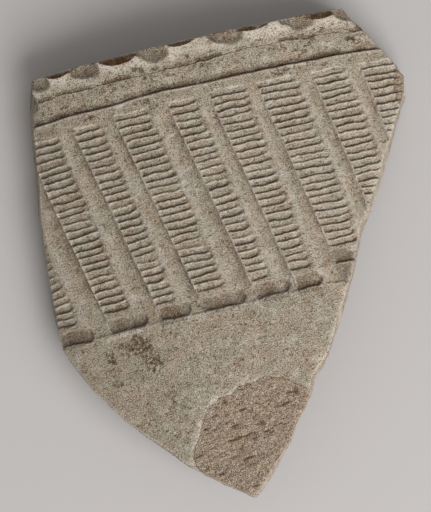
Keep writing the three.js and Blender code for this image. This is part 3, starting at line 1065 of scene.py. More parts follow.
@dataclass
class SherdWall:
    """The broken piece of wall, with everything that was turned and combed into it."""

    pot: Pot
    breaks: Breaks
    band: TurnedBand = TurnedBand()
    combing: CombedField = CombedField()
    flake: LostFlake = LostFlake()
    corner_chip: LostFlake = LostFlake(43.2, 30.4, 2.9, 6.0, depth=0.6, edge_depth=0.35, edge_width=0.4)
    skin: Skin = Skin()
    stroke_step: float = 0.18
    fine_step: float = 0.25
    torn_step: float = 0.34
    coarse_step: float = 0.5
    around_step: float = 0.43
    burr_step: float = 0.17
    burr_reach: float = 0.45
    inside_step: float = 1.2
    seat_rows: int = 12
    inside_rim_rows: int = 9
    left_reach: float = -59.5
    right_reach: float = 45.0
    foot: float = -52.5
    margin: float = 0.6
    groove_half: float = 0.5
    lip_thickening: float = 1.0
    rim_rounding: float = 1.4
    ridge_pitch: float = 7.8
    ridge_depth: float = 0.35
    break_rings: int = 10
    smooth_degrees: float = 48.0

    field_clearance: float = 1.6
    foot_clearance: float = 1.0
    skin_outs: tuple[float, float] = (-0.35, -0.05)
    inner_skin_outs: tuple[float, float] = (0.9, 0.3)
    inner_grain: tuple[Lumps, ...] = (Lumps((5.0, 3.0), 71, height=0.12), Lumps(1.6, 72, height=0.05))
    bare_patches: Lumps = Lumps((3.2, 3.2, 2.2), 73, height=0.45, level=0.4)
    pit_dirt: float = 0.5
    chipped_highlight: float = 0.9
    arris_wear_and_highlight: Line = Line(0.0, 0.45, 0.8)
    break_pale: float = 0.8

    def build(self, clay: bpy.types.Material) -> bpy.types.Object:
        """Model, carve and dress the wall, and lay it on the table.

        Args:
            clay: The material of the clay.

        Returns:
            The finished piece.
        """
        outside = self.sheet(Face.OUTSIDE)
        inside = self.sheet(Face.INSIDE)
        select_only(outside)
        inside.select_set(True)
        bpy.ops.object.join()
        self.breaks.trim(outside)
        self.close(outside)
        outside.name = "sherd_wall"
        finish_mesh(outside, self.smooth_degrees)
        self.carve(outside)
        outside.data.materials.append(clay)
        return outside

    def heights(self, side: Face) -> np.ndarray:
        """Heights of the rows of a sheet, close together where the clay was worked.

        Args:
            side: Which face of the wall.

        Returns:
            The heights, from the point up to the rim.
        """
        seam, rim = self.band.seam_height, self.pot.rim_height
        if side is Face.INSIDE:
            plain = np.arange(self.foot, seam, self.inside_step)
            return np.append(plain, np.linspace(seam, rim, self.inside_rim_rows))
        field_foot, field_top = self.combing.bottom - self.foot_clearance, self.combing.top + self.margin
        scoop_top = self.combing.bottom + self.combing.scoop.height
        groove_foot = self.band.groove_height - self.margin
        groove_top = self.band.groove_height + self.groove_half
        stretches = [
            (self.foot, self.flake.top, self.torn_step), (self.flake.top, field_foot, self.coarse_step),
            (field_foot, scoop_top, self.fine_step), (scoop_top, field_top, self.stroke_step),
            (field_top, groove_foot, self.fine_step), (groove_foot, groove_top, self.stroke_step),
            (groove_top, seam, self.fine_step),
        ]
        rows = [np.linspace(a, b, round((b - a) / step), endpoint=False) for a, b, step in stretches]
        return np.concatenate([*rows, [seam], np.linspace(seam + self.band.seat_step, rim, self.seat_rows)])

    def stations(self, side: Face) -> np.ndarray:
        """Places of the columns of a sheet along the rim, close together at each burr of the comb.

        Args:
            side: Which face of the wall.

        Returns:
            The places, from left to right.
        """
        if side is Face.INSIDE:
            return np.arange(self.left_reach, self.right_reach, self.inside_step)
        made = [self.left_reach]
        edges = np.array(self.combing.start_shares) * self.combing.span
        while made[-1] < self.right_reach:
            near = np.abs(edges - made[-1] - self.burr_step).min() < self.burr_reach
            made.append(made[-1] + (self.burr_step if near else self.around_step))
        return np.array(made)

    def sheet(self, side: Face) -> bpy.types.Object:
        """One face of the wall as a sheet, whose rows run level and whose columns lean with the comb.

        Args:
            side: Which face of the wall.

        Returns:
            The sheet, about the pot's axis.
        """
        rows, columns = self.heights(side), self.stations(side)
        bpy.ops.object.select_all(action="DESELECT")
        bpy.ops.mesh.primitive_grid_add(x_subdivisions=len(columns) - 1, y_subdivisions=len(rows) - 1, size=1)
        sheet = bpy.context.object
        unit = points_of(sheet) * MM + 0.5
        up = rows[np.round(unit[:, 1] * (len(rows) - 1)).astype(int)]
        lean = (self.combing.top - up) * math.tan(math.radians(self.combing.lean_degrees))
        around = columns[np.round(unit[:, 0] * (len(columns) - 1)).astype(int)] + lean
        out = np.zeros(len(up)) if side is Face.OUTSIDE else self.inside_out(up)
        move_points(sheet, self.pot.wrapped(np.column_stack([around, up, out])))
        return sheet

    def inside_out(self, up: np.ndarray) -> np.ndarray:
        """Where the inner face lies: throwing ridges, then the thicker rim with its rounded edge.

        Args:
            up: Heights on the wall.

        Returns:
            How far out the inner face is at each.
        """
        groove = self.band.groove_height
        ridges = self.ridge_depth * (1 - np.cos(2 * math.pi * (groove - up) / self.ridge_pitch)) / 2
        thicker = self.lip_thickening * eased(up, groove - self.groove_half, self.band.seam_height)
        high = passed(up, self.pot.rim_height - self.rim_rounding, self.pot.rim_height)
        rounding = self.rim_rounding * (1 - np.sqrt(1 - high**2))
        return -self.pot.wall + np.where(up < groove, ridges, 0) - thicker + rounding

    def close(self, shell: bpy.types.Object) -> None:
        """Bridge the two sheets round their edges with rings of faces that carry the break.

        Args:
            shell: The two trimmed sheets as one object.
        """
        select_open_edges(shell)
        bpy.ops.mesh.bridge_edge_loops(number_cuts=self.break_rings, interpolation="LINEAR")
        bpy.ops.mesh.select_mode(type="VERT")
        bpy.ops.object.mode_set(mode="OBJECT")

    def inner_skin(self, out: np.ndarray) -> np.ndarray:
        """1 on the inner face of the wall, 0 in the break and outside."""
        return eased(out + self.pot.wall, *self.inner_skin_outs)

    def in_field(self, up: np.ndarray) -> np.ndarray:
        """Whether each height is the combed field's."""
        foot = self.combing.bottom - self.foot_clearance
        return (up < self.band.groove_height - self.field_clearance) & (up > foot)

    def carve(self, wall: bpy.types.Object) -> None:
        """Carve the outer face, roughen the breaks, colour the clay and lay the wall down.

        Args:
            wall: The closed wall, about the pot's axis.
        """
        points = points_of(wall)
        places = self.pot.unwrapped(points)
        around, up, out = places.T
        flat = places[:, :2]
        skin = eased(out, *self.skin_outs)
        under = self.inner_skin(out)
        bare_edge = self.breaks.nearest(points)
        pitted = self.band.pitted(flat)
        combed = self.combing.relief(around, up)

        relief = np.where(self.in_field(up), combed.relief, self.band.relief(around, up, self.pot.rim_height))
        for hollow in (self.flake, self.corner_chip):
            relief = np.where(hollow.inset(flat) > 0, np.minimum(relief, hollow.relief(flat)), relief)
        small = self.skin.relief(flat) - self.band.pit_depth * pitted
        relief = relief + small * (up < self.band.seam_height)
        moved = places.copy()
        moved[:, 1] += self.band.seam_shift(around, up) * skin
        moved[:, 2] += relief * passed(out, -self.pot.wall, 0)
        moved[:, 2] -= self.breaks.arris_wear * skin * ridge(bare_edge, self.breaks.arris_width)
        moved[:, 2] += under * heaped(self.inner_grain, flat)
        worked = self.breaks.roughened(self.pot.wrapped(moved), places)
        move_points(wall, self.pot.laid_down(worked))
        dressed(wall, self.tints(places, combed, pitted, bare_edge))

    def tints(
        self, places: np.ndarray, combed: Mark, pitted: np.ndarray, bare_edge: np.ndarray
    ) -> dict[Tint, np.ndarray]:
        """Work out how the wall's clay is coloured, with painted shade in its hollows and painted highlights
        on its crests and edges.

        Args:
            places: Places on the wall before it was carved.
            combed: What the comb left on the clay.
            pitted: 1 in the small pits.
            bare_edge: Distance from the nearest break.

        Returns:
            Each tint's value at each place.
        """
        around, up, out = places.T
        flat = places[:, :2]
        skin = eased(out, *self.skin_outs)
        broken = (1 - skin) * (1 - self.inner_skin(out))
        in_field = self.in_field(up)
        flaked = np.maximum(self.flake.bared(flat), self.corner_chip.bared(flat)) * skin
        bared = np.maximum(flaked, broken * np.clip(self.bare_patches.at(places), 0, 1))
        # Dirt and painted shade: painted shade in the groove, up the band's foot, in the combed hollows and
        # in the flake's slits; dirt in the crack and the pits.
        soiled_and_shaded = np.maximum(self.band.dirt_and_shade(around, up), self.pit_dirt * pitted)
        soiled_and_shaded = np.maximum(np.where(in_field, combed.dirt_and_shade, soiled_and_shaded) * skin, self.flake.dirt_and_shade(flat) * flaked)
        # Pale: painted highlights on the combed crests, the burrs and the flake's left margin; wear and
        # painted highlight on the arrises; the crumbled rim and the breaks' paler clay.
        worn = np.where(in_field | (up < self.combing.bottom), combed.pale, self.band.pale(around, up)) * skin
        # A painted highlight on the flake's chipped left margin, which faces the lamp.
        lit_chipped = self.chipped_highlight * self.flake.lit_chipped(flat) * skin
        # The arrises are pale from wear and from a painted highlight.
        worn = np.max([worn, lit_chipped, self.arris_wear_and_highlight.on(bare_edge) * skin, self.break_pale * broken], axis=0)
        return {Tint.CORE: bared, Tint.DIRT: soiled_and_shaded, Tint.PALE: worn, Tint.STAIN: stained(flat) * skin}


@dataclass
class FrilledLip:
    """The strip of clay luted on along the rim and worked into a frill with finger and thumb."""

    pot: Pot
    breaks: Breaks
    band: TurnedBand = TurnedBand()
    crest_drop: float = 0.5
    crest_flare: float = 1.35
    bevel_depth: float = 0.5
    rim_rise: float = 0.35
    lower_edge: float = 0.07
    seat_clearance: float = 0.02
    back_clearance: float = 0.06
    swelling_shares: tuple[tuple[float, float], ...] = ((0.28, 0.4), (0.82, 0.82))
    scoop_shares: tuple[float, ...] = (-0.386, -0.266, -0.113, 0.06, 0.221, 0.34)
    scoop_width: float = 7.0
    scoop_reach: float = 3.9
    scoop_depth: float = 1.9
    scoop_lean: float = 0.55
    scoop_middle: float = 1.5
    scoop_squareness: float = 2.4
    scoop_sway: Lumps = Lumps(1.9, 122, height=0.6)
    scoop_reach_sway: Lumps = Lumps(2.1, 132, height=0.14, level=1.0)
    press_shares: tuple[float, ...] = (-0.33, -0.184, -0.042, 0.12, 0.275)
    press_sinks: tuple[float, ...] = (1.7, 2.3, 1.5, 1.6, 2.0)
    press_radius: float = 6.6
    press_slope_degrees: float = 62.0
    press_sway: Lumps = Lumps(2.6, 112, height=0.8)
    section_points: int = 84
    turns: int = 300
    half_span: float = 48.0
    most_sides: int = 12
    end_rings: tuple[float, ...] = (0.8, 0.7, 0.5)
    smooth_degrees: float = 42.0

    front_outs: tuple[float, float] = (-0.4, 0.0)
    grain: tuple[Lumps, ...] = (Lumps(2.2, 101, height=0.07, level=-0.04), Lumps(0.8, 102, height=0.05))
    pit_heights: tuple[float, float] = (47.6, 48.8)
    thumbed_depths: tuple[float, float] = (0.08, 0.3)
    fingered_depths: tuple[float, float] = (0.05, 0.7)
    finger_shade: float = 0.3
    crack_height: float = 0.8
    crack_dirt: float = 0.9
    pit_dirt: float = 0.6
    bare_end: float = 0.4
    bare_end_depths: tuple[float, float] = (0.35, 0.02)
    highlight_heights: tuple[float, float] = (0.6, 2.0)
    highlight_patches: Lumps = Lumps(1.7, 106, height=0.5, level=0.6)
    highlight_limit: float = 0.34

    @property
    def rim(self) -> float:
        """Height of the strip's top."""
        return self.pot.rim_height + self.rim_rise

    def build(self, clay: bpy.types.Material) -> bpy.types.Object:
        """Spin the strip, break its ends, press the frill into it and lay it down.

        Args:
            clay: The material of the clay.

        Returns:
            The finished piece.
        """
        bpy.ops.object.select_all(action="DESELECT")
        bpy.ops.mesh.primitive_circle_add(vertices=self.section_points, radius=1)
        lip = bpy.context.object
        lip.name = "sherd_lip"
        move_points(lip, self.pot.wrapped(self.section()))
        self.spin()
        self.breaks.trim(lip)
        self.cap(lip)
        finish_mesh(lip, self.smooth_degrees)
        self.press(lip)
        lip.data.materials.append(clay)
        return lip

    def section(self) -> np.ndarray:
        """The strip's section, with its corners rounded as wet clay rounds.

        Returns:
            The section's points, in order, as places on the wall.
        """
        seat = self.band.seam_height + self.seat_clearance
        crest = self.rim - self.crest_drop
        front = [[out * self.crest_flare, seat + up * (crest - seat)] for out, up in self.swelling_shares]
        corners = np.array([
            [self.lower_edge, seat], *front, [self.crest_flare, crest], [-self.bevel_depth, self.rim],
            [self.back_clearance - self.band.seat_depth, self.rim],
            [self.back_clearance - self.band.seat_inset, seat], [self.lower_edge, seat],
        ])
        lengths = np.concatenate([[0], np.cumsum(np.linalg.norm(np.diff(corners, axis=0), axis=1))])
        at = np.arange(self.section_points) / self.section_points * lengths[-1]
        outline = np.column_stack([np.interp(at, lengths, column) for column in corners.T])
        outline = outline / 2 + (np.roll(outline, 1, axis=0) + np.roll(outline, -1, axis=0)) / 4
        return np.column_stack([np.full(len(outline), -self.half_span), outline[:, 1], outline[:, 0]])

    def spin(self) -> None:
        """Spin the section round the pot's axis into a strip. The operator turns against the axis."""
        bpy.ops.object.mode_set(mode="EDIT")
        bpy.ops.mesh.select_all(action="SELECT")
        angle = -2 * self.half_span / self.pot.radius
        bpy.ops.mesh.spin(steps=self.turns, angle=angle, center=(0, 0, 0), axis=(0, 1, 0))
        bpy.ops.object.mode_set(mode="OBJECT")

    def cap(self, lip: bpy.types.Object) -> None:
        """Close the two broken ends and draw rings of faces from them.

        The faces that close them have more sides than the spun ones. Known fault: their numbers are read
        once, so the second call draws on whichever face has that number by then.

        Args:
            lip: The trimmed strip.
        """
        select_open_edges(lip)
        bpy.ops.mesh.fill_holes(sides=0)
        bpy.ops.object.mode_set(mode="OBJECT")
        ends = [face.index for face in lip.data.polygons if face.loop_total > self.most_sides]
        for end in ends:
            self.ring_end(lip, end)

    def ring_end(self, lip: bpy.types.Object, end: int) -> None:
        """Draw rings of faces towards the middle of one face.

        Known fault: the edges round both broken ends are still selected here, so both ends are drawn in
        towards the same middle. That leaves the lip's ends hollow, with the rings crossing inside it.

        Args:
            lip: The strip, closed at its ends.
            end: Which face gives the middle.
        """
        centre = lip.data.polygons[end].center.copy()
        lip.data.polygons.foreach_set("select", [face.index == end for face in lip.data.polygons])
        bpy.ops.object.mode_set(mode="EDIT")
        bpy.ops.mesh.select_mode(type="FACE")
        for share in self.end_rings:
            bpy.ops.mesh.extrude_region()
            bpy.ops.transform.resize(value=(share, share, share), center_override=centre)
        bpy.ops.mesh.select_mode(type="VERT")
        bpy.ops.object.mode_set(mode="OBJECT")

    def pressed(self, places: np.ndarray) -> np.ndarray:
        """Press the finger scoops into the outer face and the thumb presses into the top.

        Args:
            places: Places of the strip's points on the wall.

        Returns:
            The places, moved.
        """
        around, up, out = places.T.copy()
        slope = math.tan(math.radians(self.press_slope_degrees))
        for number, (share, sink) in enumerate(zip(self.press_shares, self.press_sinks)):
            aside = around - share * self.breaks.width + self.press_sway.at(around, number)
            rise = self.press_radius - np.sqrt(np.maximum(self.press_radius**2 - aside**2, 0))
            rise = np.where(np.abs(aside) < self.press_radius, rise, np.inf)
            up = np.minimum(up, self.rim - sink - slope * (out - self.crest_flare) + rise)
        for number, share in enumerate(self.scoop_shares):
            lean = self.scoop_lean * (self.rim - up - self.scoop_middle)
            aside = around - share * self.breaks.width - lean + self.scoop_sway.at(places[:, :2], number)
            below = (up - self.rim) / self.scoop_reach * self.scoop_reach_sway.at(places[:, 0], number)
            edge = np.abs(aside / (self.scoop_width / 2)) ** self.scoop_squareness
            inside = np.maximum(1 - edge - np.abs(below) ** self.scoop_squareness, 0)
            floor = self.crest_flare - self.scoop_depth * np.sqrt(inside)
            out = np.where(inside > 0, np.minimum(out, floor), out)
        return np.column_stack([around, up, out])

    def press(self, lip: bpy.types.Object) -> None:
        """Shape the frill, roughen the clay and colour it, with painted shade in the presses and scoops and a
        painted highlight on the faces between them.

        Args:
            lip: The closed strip, about the pot's axis.
        """
        points = points_of(lip)
        places = self.pot.unwrapped(points)
        flat = places[:, :2]
        around, up, out = places.T
        front = eased(out, *self.front_outs)
        shaped = self.pressed(places)
        thumbed = eased(up - shaped[:, 1], *self.thumbed_depths)
        fingered = np.maximum(self.finger_shade * eased(out - shaped[:, 2], *self.fingered_depths), thumbed)
        pitted = self.band.pitted(flat) * (1 - eased(up, *self.pit_heights))
        shaped[:, 2] += front * (heaped(self.grain, flat) - self.band.pit_depth * pitted)
        shaped[:, 1] += self.band.seam_shift(around, up) * front
        worked = self.breaks.roughened(self.pot.wrapped(shaped), places)
        move_points(lip, self.pot.laid_down(worked))

        end = self.bare_end * eased(self.breaks.nearest(points), *self.bare_end_depths) * (1 - front)
        height = up - self.band.seam_height
        crack = self.crack_dirt * (1 - eased(height, 0, self.crack_height)) * self.band.crack_runs.at(around)
        # Painted shade fills the thumb presses and finger scoops; the crack's dark and the pits are dirt.
        soiled_and_shaded = np.max([fingered, crack, self.pit_dirt * pitted], axis=0)
        # Painted highlight on the lip's front face between the presses, where it faces the lamp.
        worn = (1 - eased(fingered, 0, self.highlight_limit)) * eased(height, *self.highlight_heights)
        worn = worn * self.highlight_patches.at(flat) * (1 - pitted)
        dressed(lip, {Tint.CORE: end, Tint.DIRT: soiled_and_shaded, Tint.PALE: worn, Tint.STAIN: stained(flat) * front})


def linear(colour: Colour) -> tuple[float, float, float, float]:
    """Turn a colour as it is seen into the light that a shader takes.

    Args:
        colour: Red, green and blue from 0 to 255.

    Returns:
        Their shares of light, and an alpha of 1.
    """
    shares = [value / 255 for value in colour]
    lights = [share / 12.92 if share <= 0.04045 else ((share + 0.055) / 1.055) ** 2.4 for share in shares]
    return lights[0], lights[1], lights[2], 1.0


class Grain(NamedTuple):
    """A pattern of chance values in the clay.

    The size of a lump, how many finer layers it has, a shift that sets it apart from others, how many
    times longer its lumps are along each axis, and the turn of their long axis from the rim's.
    """

    size: float
    detail: float
    shift: float
    stretch: tuple[float, float, float] = (1.0, 1.0, 1.0)
    turn_degrees: float = 0.0


class Rise(NamedTuple):
    """A smooth rise from 0 to top, as a value passes from low to high, which may lie below low."""

    low: float
    high: float
    top: float = 1.0


class Bench:
    """A material's node tree, with a short way to add each kind of node that clay needs."""

    def __init__(self, name: str) -> None:
        """Start a material with its shader and the coordinates that its patterns follow.

        Args:
            name: The material's name.
        """
        self.material = bpy.data.materials.new(name)
        self.material.use_nodes = True
        self.tree = self.material.node_tree
        self.shader = self.tree.nodes["Principled BSDF"]
        self.place = self.tree.nodes.new("ShaderNodeTexCoord").outputs["Object"]

    def feed(self, socket: bpy.types.NodeSocket, value: object) -> None:
        """Give a socket its value.

        Args:
            socket: The socket to feed.
            value: Another socket to link it to, or a number or colour to set it to.
        """
        if isinstance(value, bpy.types.NodeSocket):
            self.tree.links.new(value, socket)
        else:
            socket.default_value = value

    def grain(self, grain: Grain) -> bpy.types.NodeSocket:
        """Smooth chance values through the clay.

        Args:
            grain: The pattern that they follow.

        Returns:
            The socket of the values, from 0 to 1.
        """
        mapping = self.tree.nodes.new("ShaderNodeMapping")
        mapping.vector_type = "TEXTURE"
        self.feed(mapping.inputs["Vector"], self.place)
        self.feed(mapping.inputs["Location"], (grain.shift, grain.shift * 0.7, grain.shift * 0.3))
        self.feed(mapping.inputs["Rotation"], (0, 0, math.radians(grain.turn_degrees)))
        self.feed(mapping.inputs["Scale"], tuple(part * grain.size * MM for part in grain.stretch))
        noise = self.tree.nodes.new("ShaderNodeTexNoise")
        self.feed(noise.inputs["Vector"], mapping.outputs["Vector"])
        self.feed(noise.inputs["Scale"], 1.0)
        self.feed(noise.inputs["Detail"], grain.detail)
        return noise.outputs["Fac"]

    def raised(self, value: bpy.types.NodeSocket, rise: Rise) -> bpy.types.NodeSocket:
        """Send a value through a rise.

        Args:
            value: The value.
            rise: Where and how far it rises.

        Returns:
            The socket of the result, from 0 to the rise's top.
        """
        node = self.tree.nodes.new("ShaderNodeMapRange")
        node.interpolation_type = "SMOOTHSTEP"
        self.feed(node.inputs["Value"], value)
        self.feed(node.inputs["From Min"], rise.low)
        self.feed(node.inputs["From Max"], rise.high)
        self.feed(node.inputs["To Max"], rise.top)
        return node.outputs["Result"]

    def tint(self, tint: Tint) -> bpy.types.NodeSocket:
        """Read one of the mesh's tints.

        Args:
            tint: Which tint.

        Returns:
            The socket of its values.
        """
        node = self.tree.nodes.new("ShaderNodeAttribute")
        node.attribute_name = tint.value
        return node.outputs["Fac"]

    def maths(self, operation: str, first: object, second: object) -> bpy.types.NodeSocket:
        """Work out one number from two.

        Args:
            operation: What is done with them.
            first: A socket or a number.
            second: A socket or a number.

        Returns:
            The socket of the result.
        """
        node = self.tree.nodes.new("ShaderNodeMath")
        node.operation = operation
        self.feed(node.inputs[0], first)
        self.feed(node.inputs[1], second)
        return node.outputs["Value"]

    def mix(self, share: object, under: object, over: object) -> bpy.types.NodeSocket:
        """Lay one colour over another.

        Args:
            share: How much of the upper one shows, a socket or a number.
            under: The lower colour, a socket or a colour.
            over: The upper colour, a socket or a colour.

        Returns:
            The socket of the mixed colour.
        """
        node = self.tree.nodes.new("ShaderNodeMix")
        node.data_type = "RGBA"
        self.feed(node.inputs["Factor"], share)
        self.feed(node.inputs[6], under)
        self.feed(node.inputs[7], over)
        return node.outputs[2]

    def bump(self, height: bpy.types.NodeSocket, depth: float, under: object = None) -> bpy.types.NodeSocket:
        """Raise the surface's light and shade.

        Args:
            height: The height at each place, as a share of the depth.
            depth: How high a share of 1 is.
            under: The bumps that these are laid on.

        Returns:
            The socket of the surface's direction.
        """
        node = self.tree.nodes.new("ShaderNodeBump")
        self.feed(node.inputs["Strength"], 1.0)
        self.feed(node.inputs["Distance"], depth * MM)
        self.feed(node.inputs["Height"], height)
        if under is not None:
            self.feed(node.inputs["Normal"], under)
        return node.outputs["Normal"]


@dataclass(frozen=True)
class Coat:
    """A colour that shows more and more as a grain's values go through a rise."""

    grain: Grain
    rise: Rise
    colour: Colour


@dataclass(frozen=True)
class FiredClay:
    """Coarse fired clay with a thin pale skin over a browner core."""

    broad: Grain = Grain(5.0, 3.0, 0.0)
    cloudy: Grain = Grain(2.6, 4.0, 11.0)
    mottled: Grain = Grain(0.75, 3.0, 37.0)
    fine: Grain = Grain(0.32, 1.0, 23.0)
    dust: Grain = Grain(0.19, 0.0, 61.0)
    streaky: Grain = Grain(0.45, 3.0, 5.0, stretch=(3.2, 0.75, 0.75), turn_degrees=10.0)

    cool: Colour = (158, 151, 130)
    # The pale mottling and grit, worn pale clay, and painted highlights.
    pale: Colour = (208, 198, 184)
    speck: Colour = (86, 64, 36)
    # The colour of dirt and of painted shade in the hollows.
    dirt_and_shade: Colour = (94, 58, 20)
    stain: Colour = (86, 65, 43)
    skin_coats: tuple[Coat, ...] = (
        Coat(broad, Rise(0.36, 0.64), (167, 149, 127)),
        Coat(cloudy, Rise(0.5, 0.7, 0.6), (128, 106, 84)),
        Coat(cloudy, Rise(0.45, 0.3, 0.5), pale),
        Coat(mottled, Rise(0.46, 0.3, 0.4), pale),
    )
    grit: tuple[Coat, ...] = (
        Coat(fine, Rise(0.45, 0.3, 0.35), pale),
        Coat(fine, Rise(0.6, 0.71, 0.75), speck),
        Coat(dust, Rise(0.48, 0.3, 0.6), pale),
        Coat(dust, Rise(0.55, 0.72, 0.7), speck),
        Coat(mottled, Rise(0.64, 0.72, 0.7), speck),
    )
    stain_ragged: Rise = Rise(0.35, 0.62, 0.75)
    stain_floor: float = 0.25
    stain_under_grit: Rise = Rise(0.05, 0.75, 0.92)
    stain_over_grit: Rise = Rise(0.1, 0.85, 0.5)
    dirt_and_shade_grain: Rise = Rise(0.15, 0.55, 0.92)
    pale_and_lit_grain: Rise = Rise(0.72, 0.45, 0.95)

    core: Colour = (196, 174, 152)
    core_coats: tuple[Coat, ...] = (
        Coat(broad, Rise(0.4, 0.62), (193, 169, 143)),
        Coat(streaky, Rise(0.44, 0.7, 0.7), (156, 133, 109)),
    )
    core_grit_share: float = 0.9
    core_dirt_and_shade_share: float = 0.75

    pits: Rise = Rise(0.62, 0.7)
    worked: Rise = Rise(0.0, 0.5)
    roughness: float = 0.95
    gloss: float = 0.2
    pit_depth: float = 0.16
    streak_depth: float = 0.8
    grain_depth: float = 0.22
    dust_depth: float = 0.16

    def material(self, name: str) -> bpy.types.Material:
        """Make the clay.

        Args:
            name: The material's name.

        Returns:
            The material.
        """
        bench = Bench(name)
        kinds = (self.broad, self.cloudy, self.mottled, self.fine, self.dust, self.streaky)
        grains = {kind: bench.grain(kind) for kind in kinds}
        colour = bench.mix(bench.tint(Tint.CORE), self.skin(bench, grains), self.bared(bench, grains))
        bench.feed(bench.shader.inputs["Base Color"], colour)
        bench.feed(bench.shader.inputs["Roughness"], self.roughness)
        bench.feed(bench.shader.inputs["Specular IOR Level"], self.gloss)
        bench.feed(bench.shader.inputs["Normal"], self.relief(bench, grains))
        return bench.material

    def coated(
        self, bench: Bench, grains: dict[Grain, bpy.types.NodeSocket], under: object, coats: tuple[Coat, ...]
    ) -> object:
        """Lay coats over a colour, one after the other.

        Args:
            bench: The material being made.
            grains: The values of each grain.
            under: The colour that they are laid on.
            coats: The coats.

        Returns:
            The coated colour.
        """
        for coat in coats:
            under = bench.mix(bench.raised(grains[coat.grain], coat.rise), under, linear(coat.colour))
        return under

    def skin(self, bench: Bench, grains: dict[Grain, bpy.types.NodeSocket]) -> bpy.types.NodeSocket:
        """The skin: mottled, stained, gritty, with dirt and painted shade in its cuts, and worn pale and
        painted highlights where it stands proud.

        Args:
            bench: The material being made.
            grains: The values of each grain.

        Returns:
            The skin's colour.
        """
        skin = self.coated(bench, grains, linear(self.cool), self.skin_coats)
        ragged = bench.maths("ADD", bench.raised(grains[self.mottled], self.stain_ragged), self.stain_floor)
        soaked = bench.maths("MULTIPLY", bench.tint(Tint.STAIN), ragged)
        skin = bench.mix(bench.raised(soaked, self.stain_under_grit), skin, linear(self.stain))
        skin = self.coated(bench, grains, skin, self.grit)
        skin = bench.mix(bench.raised(soaked, self.stain_over_grit), skin, linear(self.stain))
        # Dirt and painted shade, broken up by the cloudy grain.
        held_and_shaded = bench.raised(grains[self.cloudy], self.dirt_and_shade_grain)
        skin = bench.mix(bench.maths("MULTIPLY", bench.tint(Tint.DIRT), held_and_shaded), skin, linear(self.dirt_and_shade))
        # Pale wear and painted highlights, broken up by the fine grain.
        rubbed_and_lit = bench.raised(grains[self.fine], self.pale_and_lit_grain)
        return bench.mix(bench.maths("MULTIPLY", bench.tint(Tint.PALE), rubbed_and_lit), skin, linear(self.pale))

    def bared(self, bench: Bench, grains: dict[Grain, bpy.types.NodeSocket]) -> bpy.types.NodeSocket:
        """The bare core: streaked and gritty, with painted shade in its slits.

        Args:
            bench: The material being made.
            grains: The values of each grain.

        Returns:
            The core's colour.
        """
        core = self.coated(bench, grains, linear(self.core), self.core_coats)
        core = bench.mix(self.core_grit_share, core, self.coated(bench, grains, core, self.grit))
        soiled_and_shaded = bench.maths("MULTIPLY", bench.tint(Tint.DIRT), self.core_dirt_and_shade_share)
        return bench.mix(soiled_and_shaded, core, linear(self.dirt_and_shade))

    def relief(self, bench: Bench, grains: dict[Grain, bpy.types.NodeSocket]) -> bpy.types.NodeSocket:
        """The clay's finest relief: pits, streaks in the core, and grit, rougher where it was worked.

        Args:
            bench: The material being made.
            grains: The values of each grain.

        Returns:
            The surface's direction.
        """
        pits = bench.maths("SUBTRACT", 1.0, bench.raised(grains[self.mottled], self.pits))
        worked = bench.maths("MAXIMUM", bench.tint(Tint.CORE), bench.tint(Tint.DIRT))
        worked = bench.maths("ADD", bench.raised(worked, self.worked), 1.0)
        streaks = bench.maths("MULTIPLY", grains[self.streaky], bench.tint(Tint.CORE))
        relief = bench.bump(pits, self.pit_depth)
        relief = bench.bump(streaks, self.streak_depth, relief)
        relief = bench.bump(bench.maths("MULTIPLY", grains[self.fine], worked), self.grain_depth, relief)
        return bench.bump(bench.maths("MULTIPLY", grains[self.dust], worked), self.dust_depth, relief)


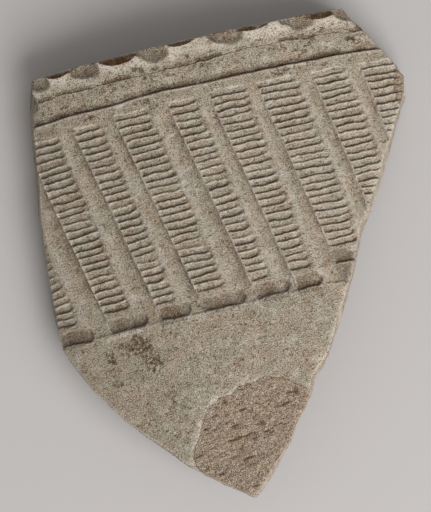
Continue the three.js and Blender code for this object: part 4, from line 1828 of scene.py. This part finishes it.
@dataclass(frozen=True)
class Studio:
    """A pale floor, one broad low lamp and an even sky, and the camera straight above."""

    floor_metres: float = 3.0
    floor_colour: Colour = (190, 186, 184)
    floor_roughness: float = 0.9
    sky: float = 0.36
    lamp_watts: float = 10.8
    lamp_metres: float = 0.8
    lamp_distance_metres: float = 0.95
    lamp_elevation_degrees: float = 42.0
    lamp_bearing_degrees: float = -62.0
    camera_place: tuple[float, float, float] = (-6.271, 3.727, 668.196)
    camera_turn_degrees: float = -12.8
    lens: float = 207.74

    def build(self) -> None:
        """Make the floor, the light and the camera."""
        self.lay_floor()
        self.set_sky()
        self.set_lamp()
        self.set_camera()
        bpy.context.scene.view_settings.view_transform = "Standard"

    def lay_floor(self) -> None:
        """Lay the floor at the table's height."""
        bpy.ops.object.select_all(action="DESELECT")
        bpy.ops.mesh.primitive_plane_add(size=self.floor_metres)
        floor = bpy.context.object
        floor.name = "floor"
        bench = Bench("pale_floor")
        bench.feed(bench.shader.inputs["Base Color"], linear(self.floor_colour))
        bench.feed(bench.shader.inputs["Roughness"], self.floor_roughness)
        floor.data.materials.append(bench.material)

    def set_sky(self) -> None:
        """Light everything evenly from all round."""
        world = bpy.data.worlds.new("sky")
        world.use_nodes = True
        background = world.node_tree.nodes["Background"]
        background.inputs["Color"].default_value = (1, 1, 1, 1)
        background.inputs["Strength"].default_value = self.sky
        bpy.context.scene.world = world

    def set_lamp(self) -> None:
        """Hang the lamp, facing the sherd."""
        lamp = bpy.data.lights.new("lamp", "AREA")
        lamp.energy = self.lamp_watts
        lamp.size = self.lamp_metres
        stand = bpy.data.objects.new("lamp", lamp)
        bpy.context.scene.collection.objects.link(stand)
        rise, turn = math.radians(self.lamp_elevation_degrees), math.radians(self.lamp_bearing_degrees)
        towards = Vector((math.cos(turn) * math.cos(rise), math.sin(turn) * math.cos(rise), math.sin(rise)))
        stand.location = towards * self.lamp_distance_metres
        stand.rotation_euler = towards.to_track_quat("Z", "Y").to_euler()

    def set_camera(self) -> None:
        """Look straight down on the sherd, with the camera turned as it was held."""
        data = bpy.data.cameras.new("camera")
        data.lens = self.lens
        camera = bpy.data.objects.new("camera", data)
        bpy.context.scene.collection.objects.link(camera)
        camera.location = Vector(self.camera_place) * MM
        camera.rotation_euler = (0, 0, math.radians(self.camera_turn_degrees))
        bpy.context.scene.camera = camera


def main() -> None:
    """Build the sherd and its studio."""
    logging.basicConfig(level=logging.INFO, format="%(name)s: %(message)s")
    Studio().build()
    clay = FiredClay().material("fired_clay")
    pot = Pot()
    breaks = Breaks(pot)
    wall = SherdWall(pot, breaks).build(clay)
    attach(wall, "root")
    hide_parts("wall")
    report(wall)
    lip = FrilledLip(pot, breaks).build(clay)
    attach(lip, "root")
    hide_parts("frilled_lip")
    report(lip)


if __name__ == "__main__":
    main()
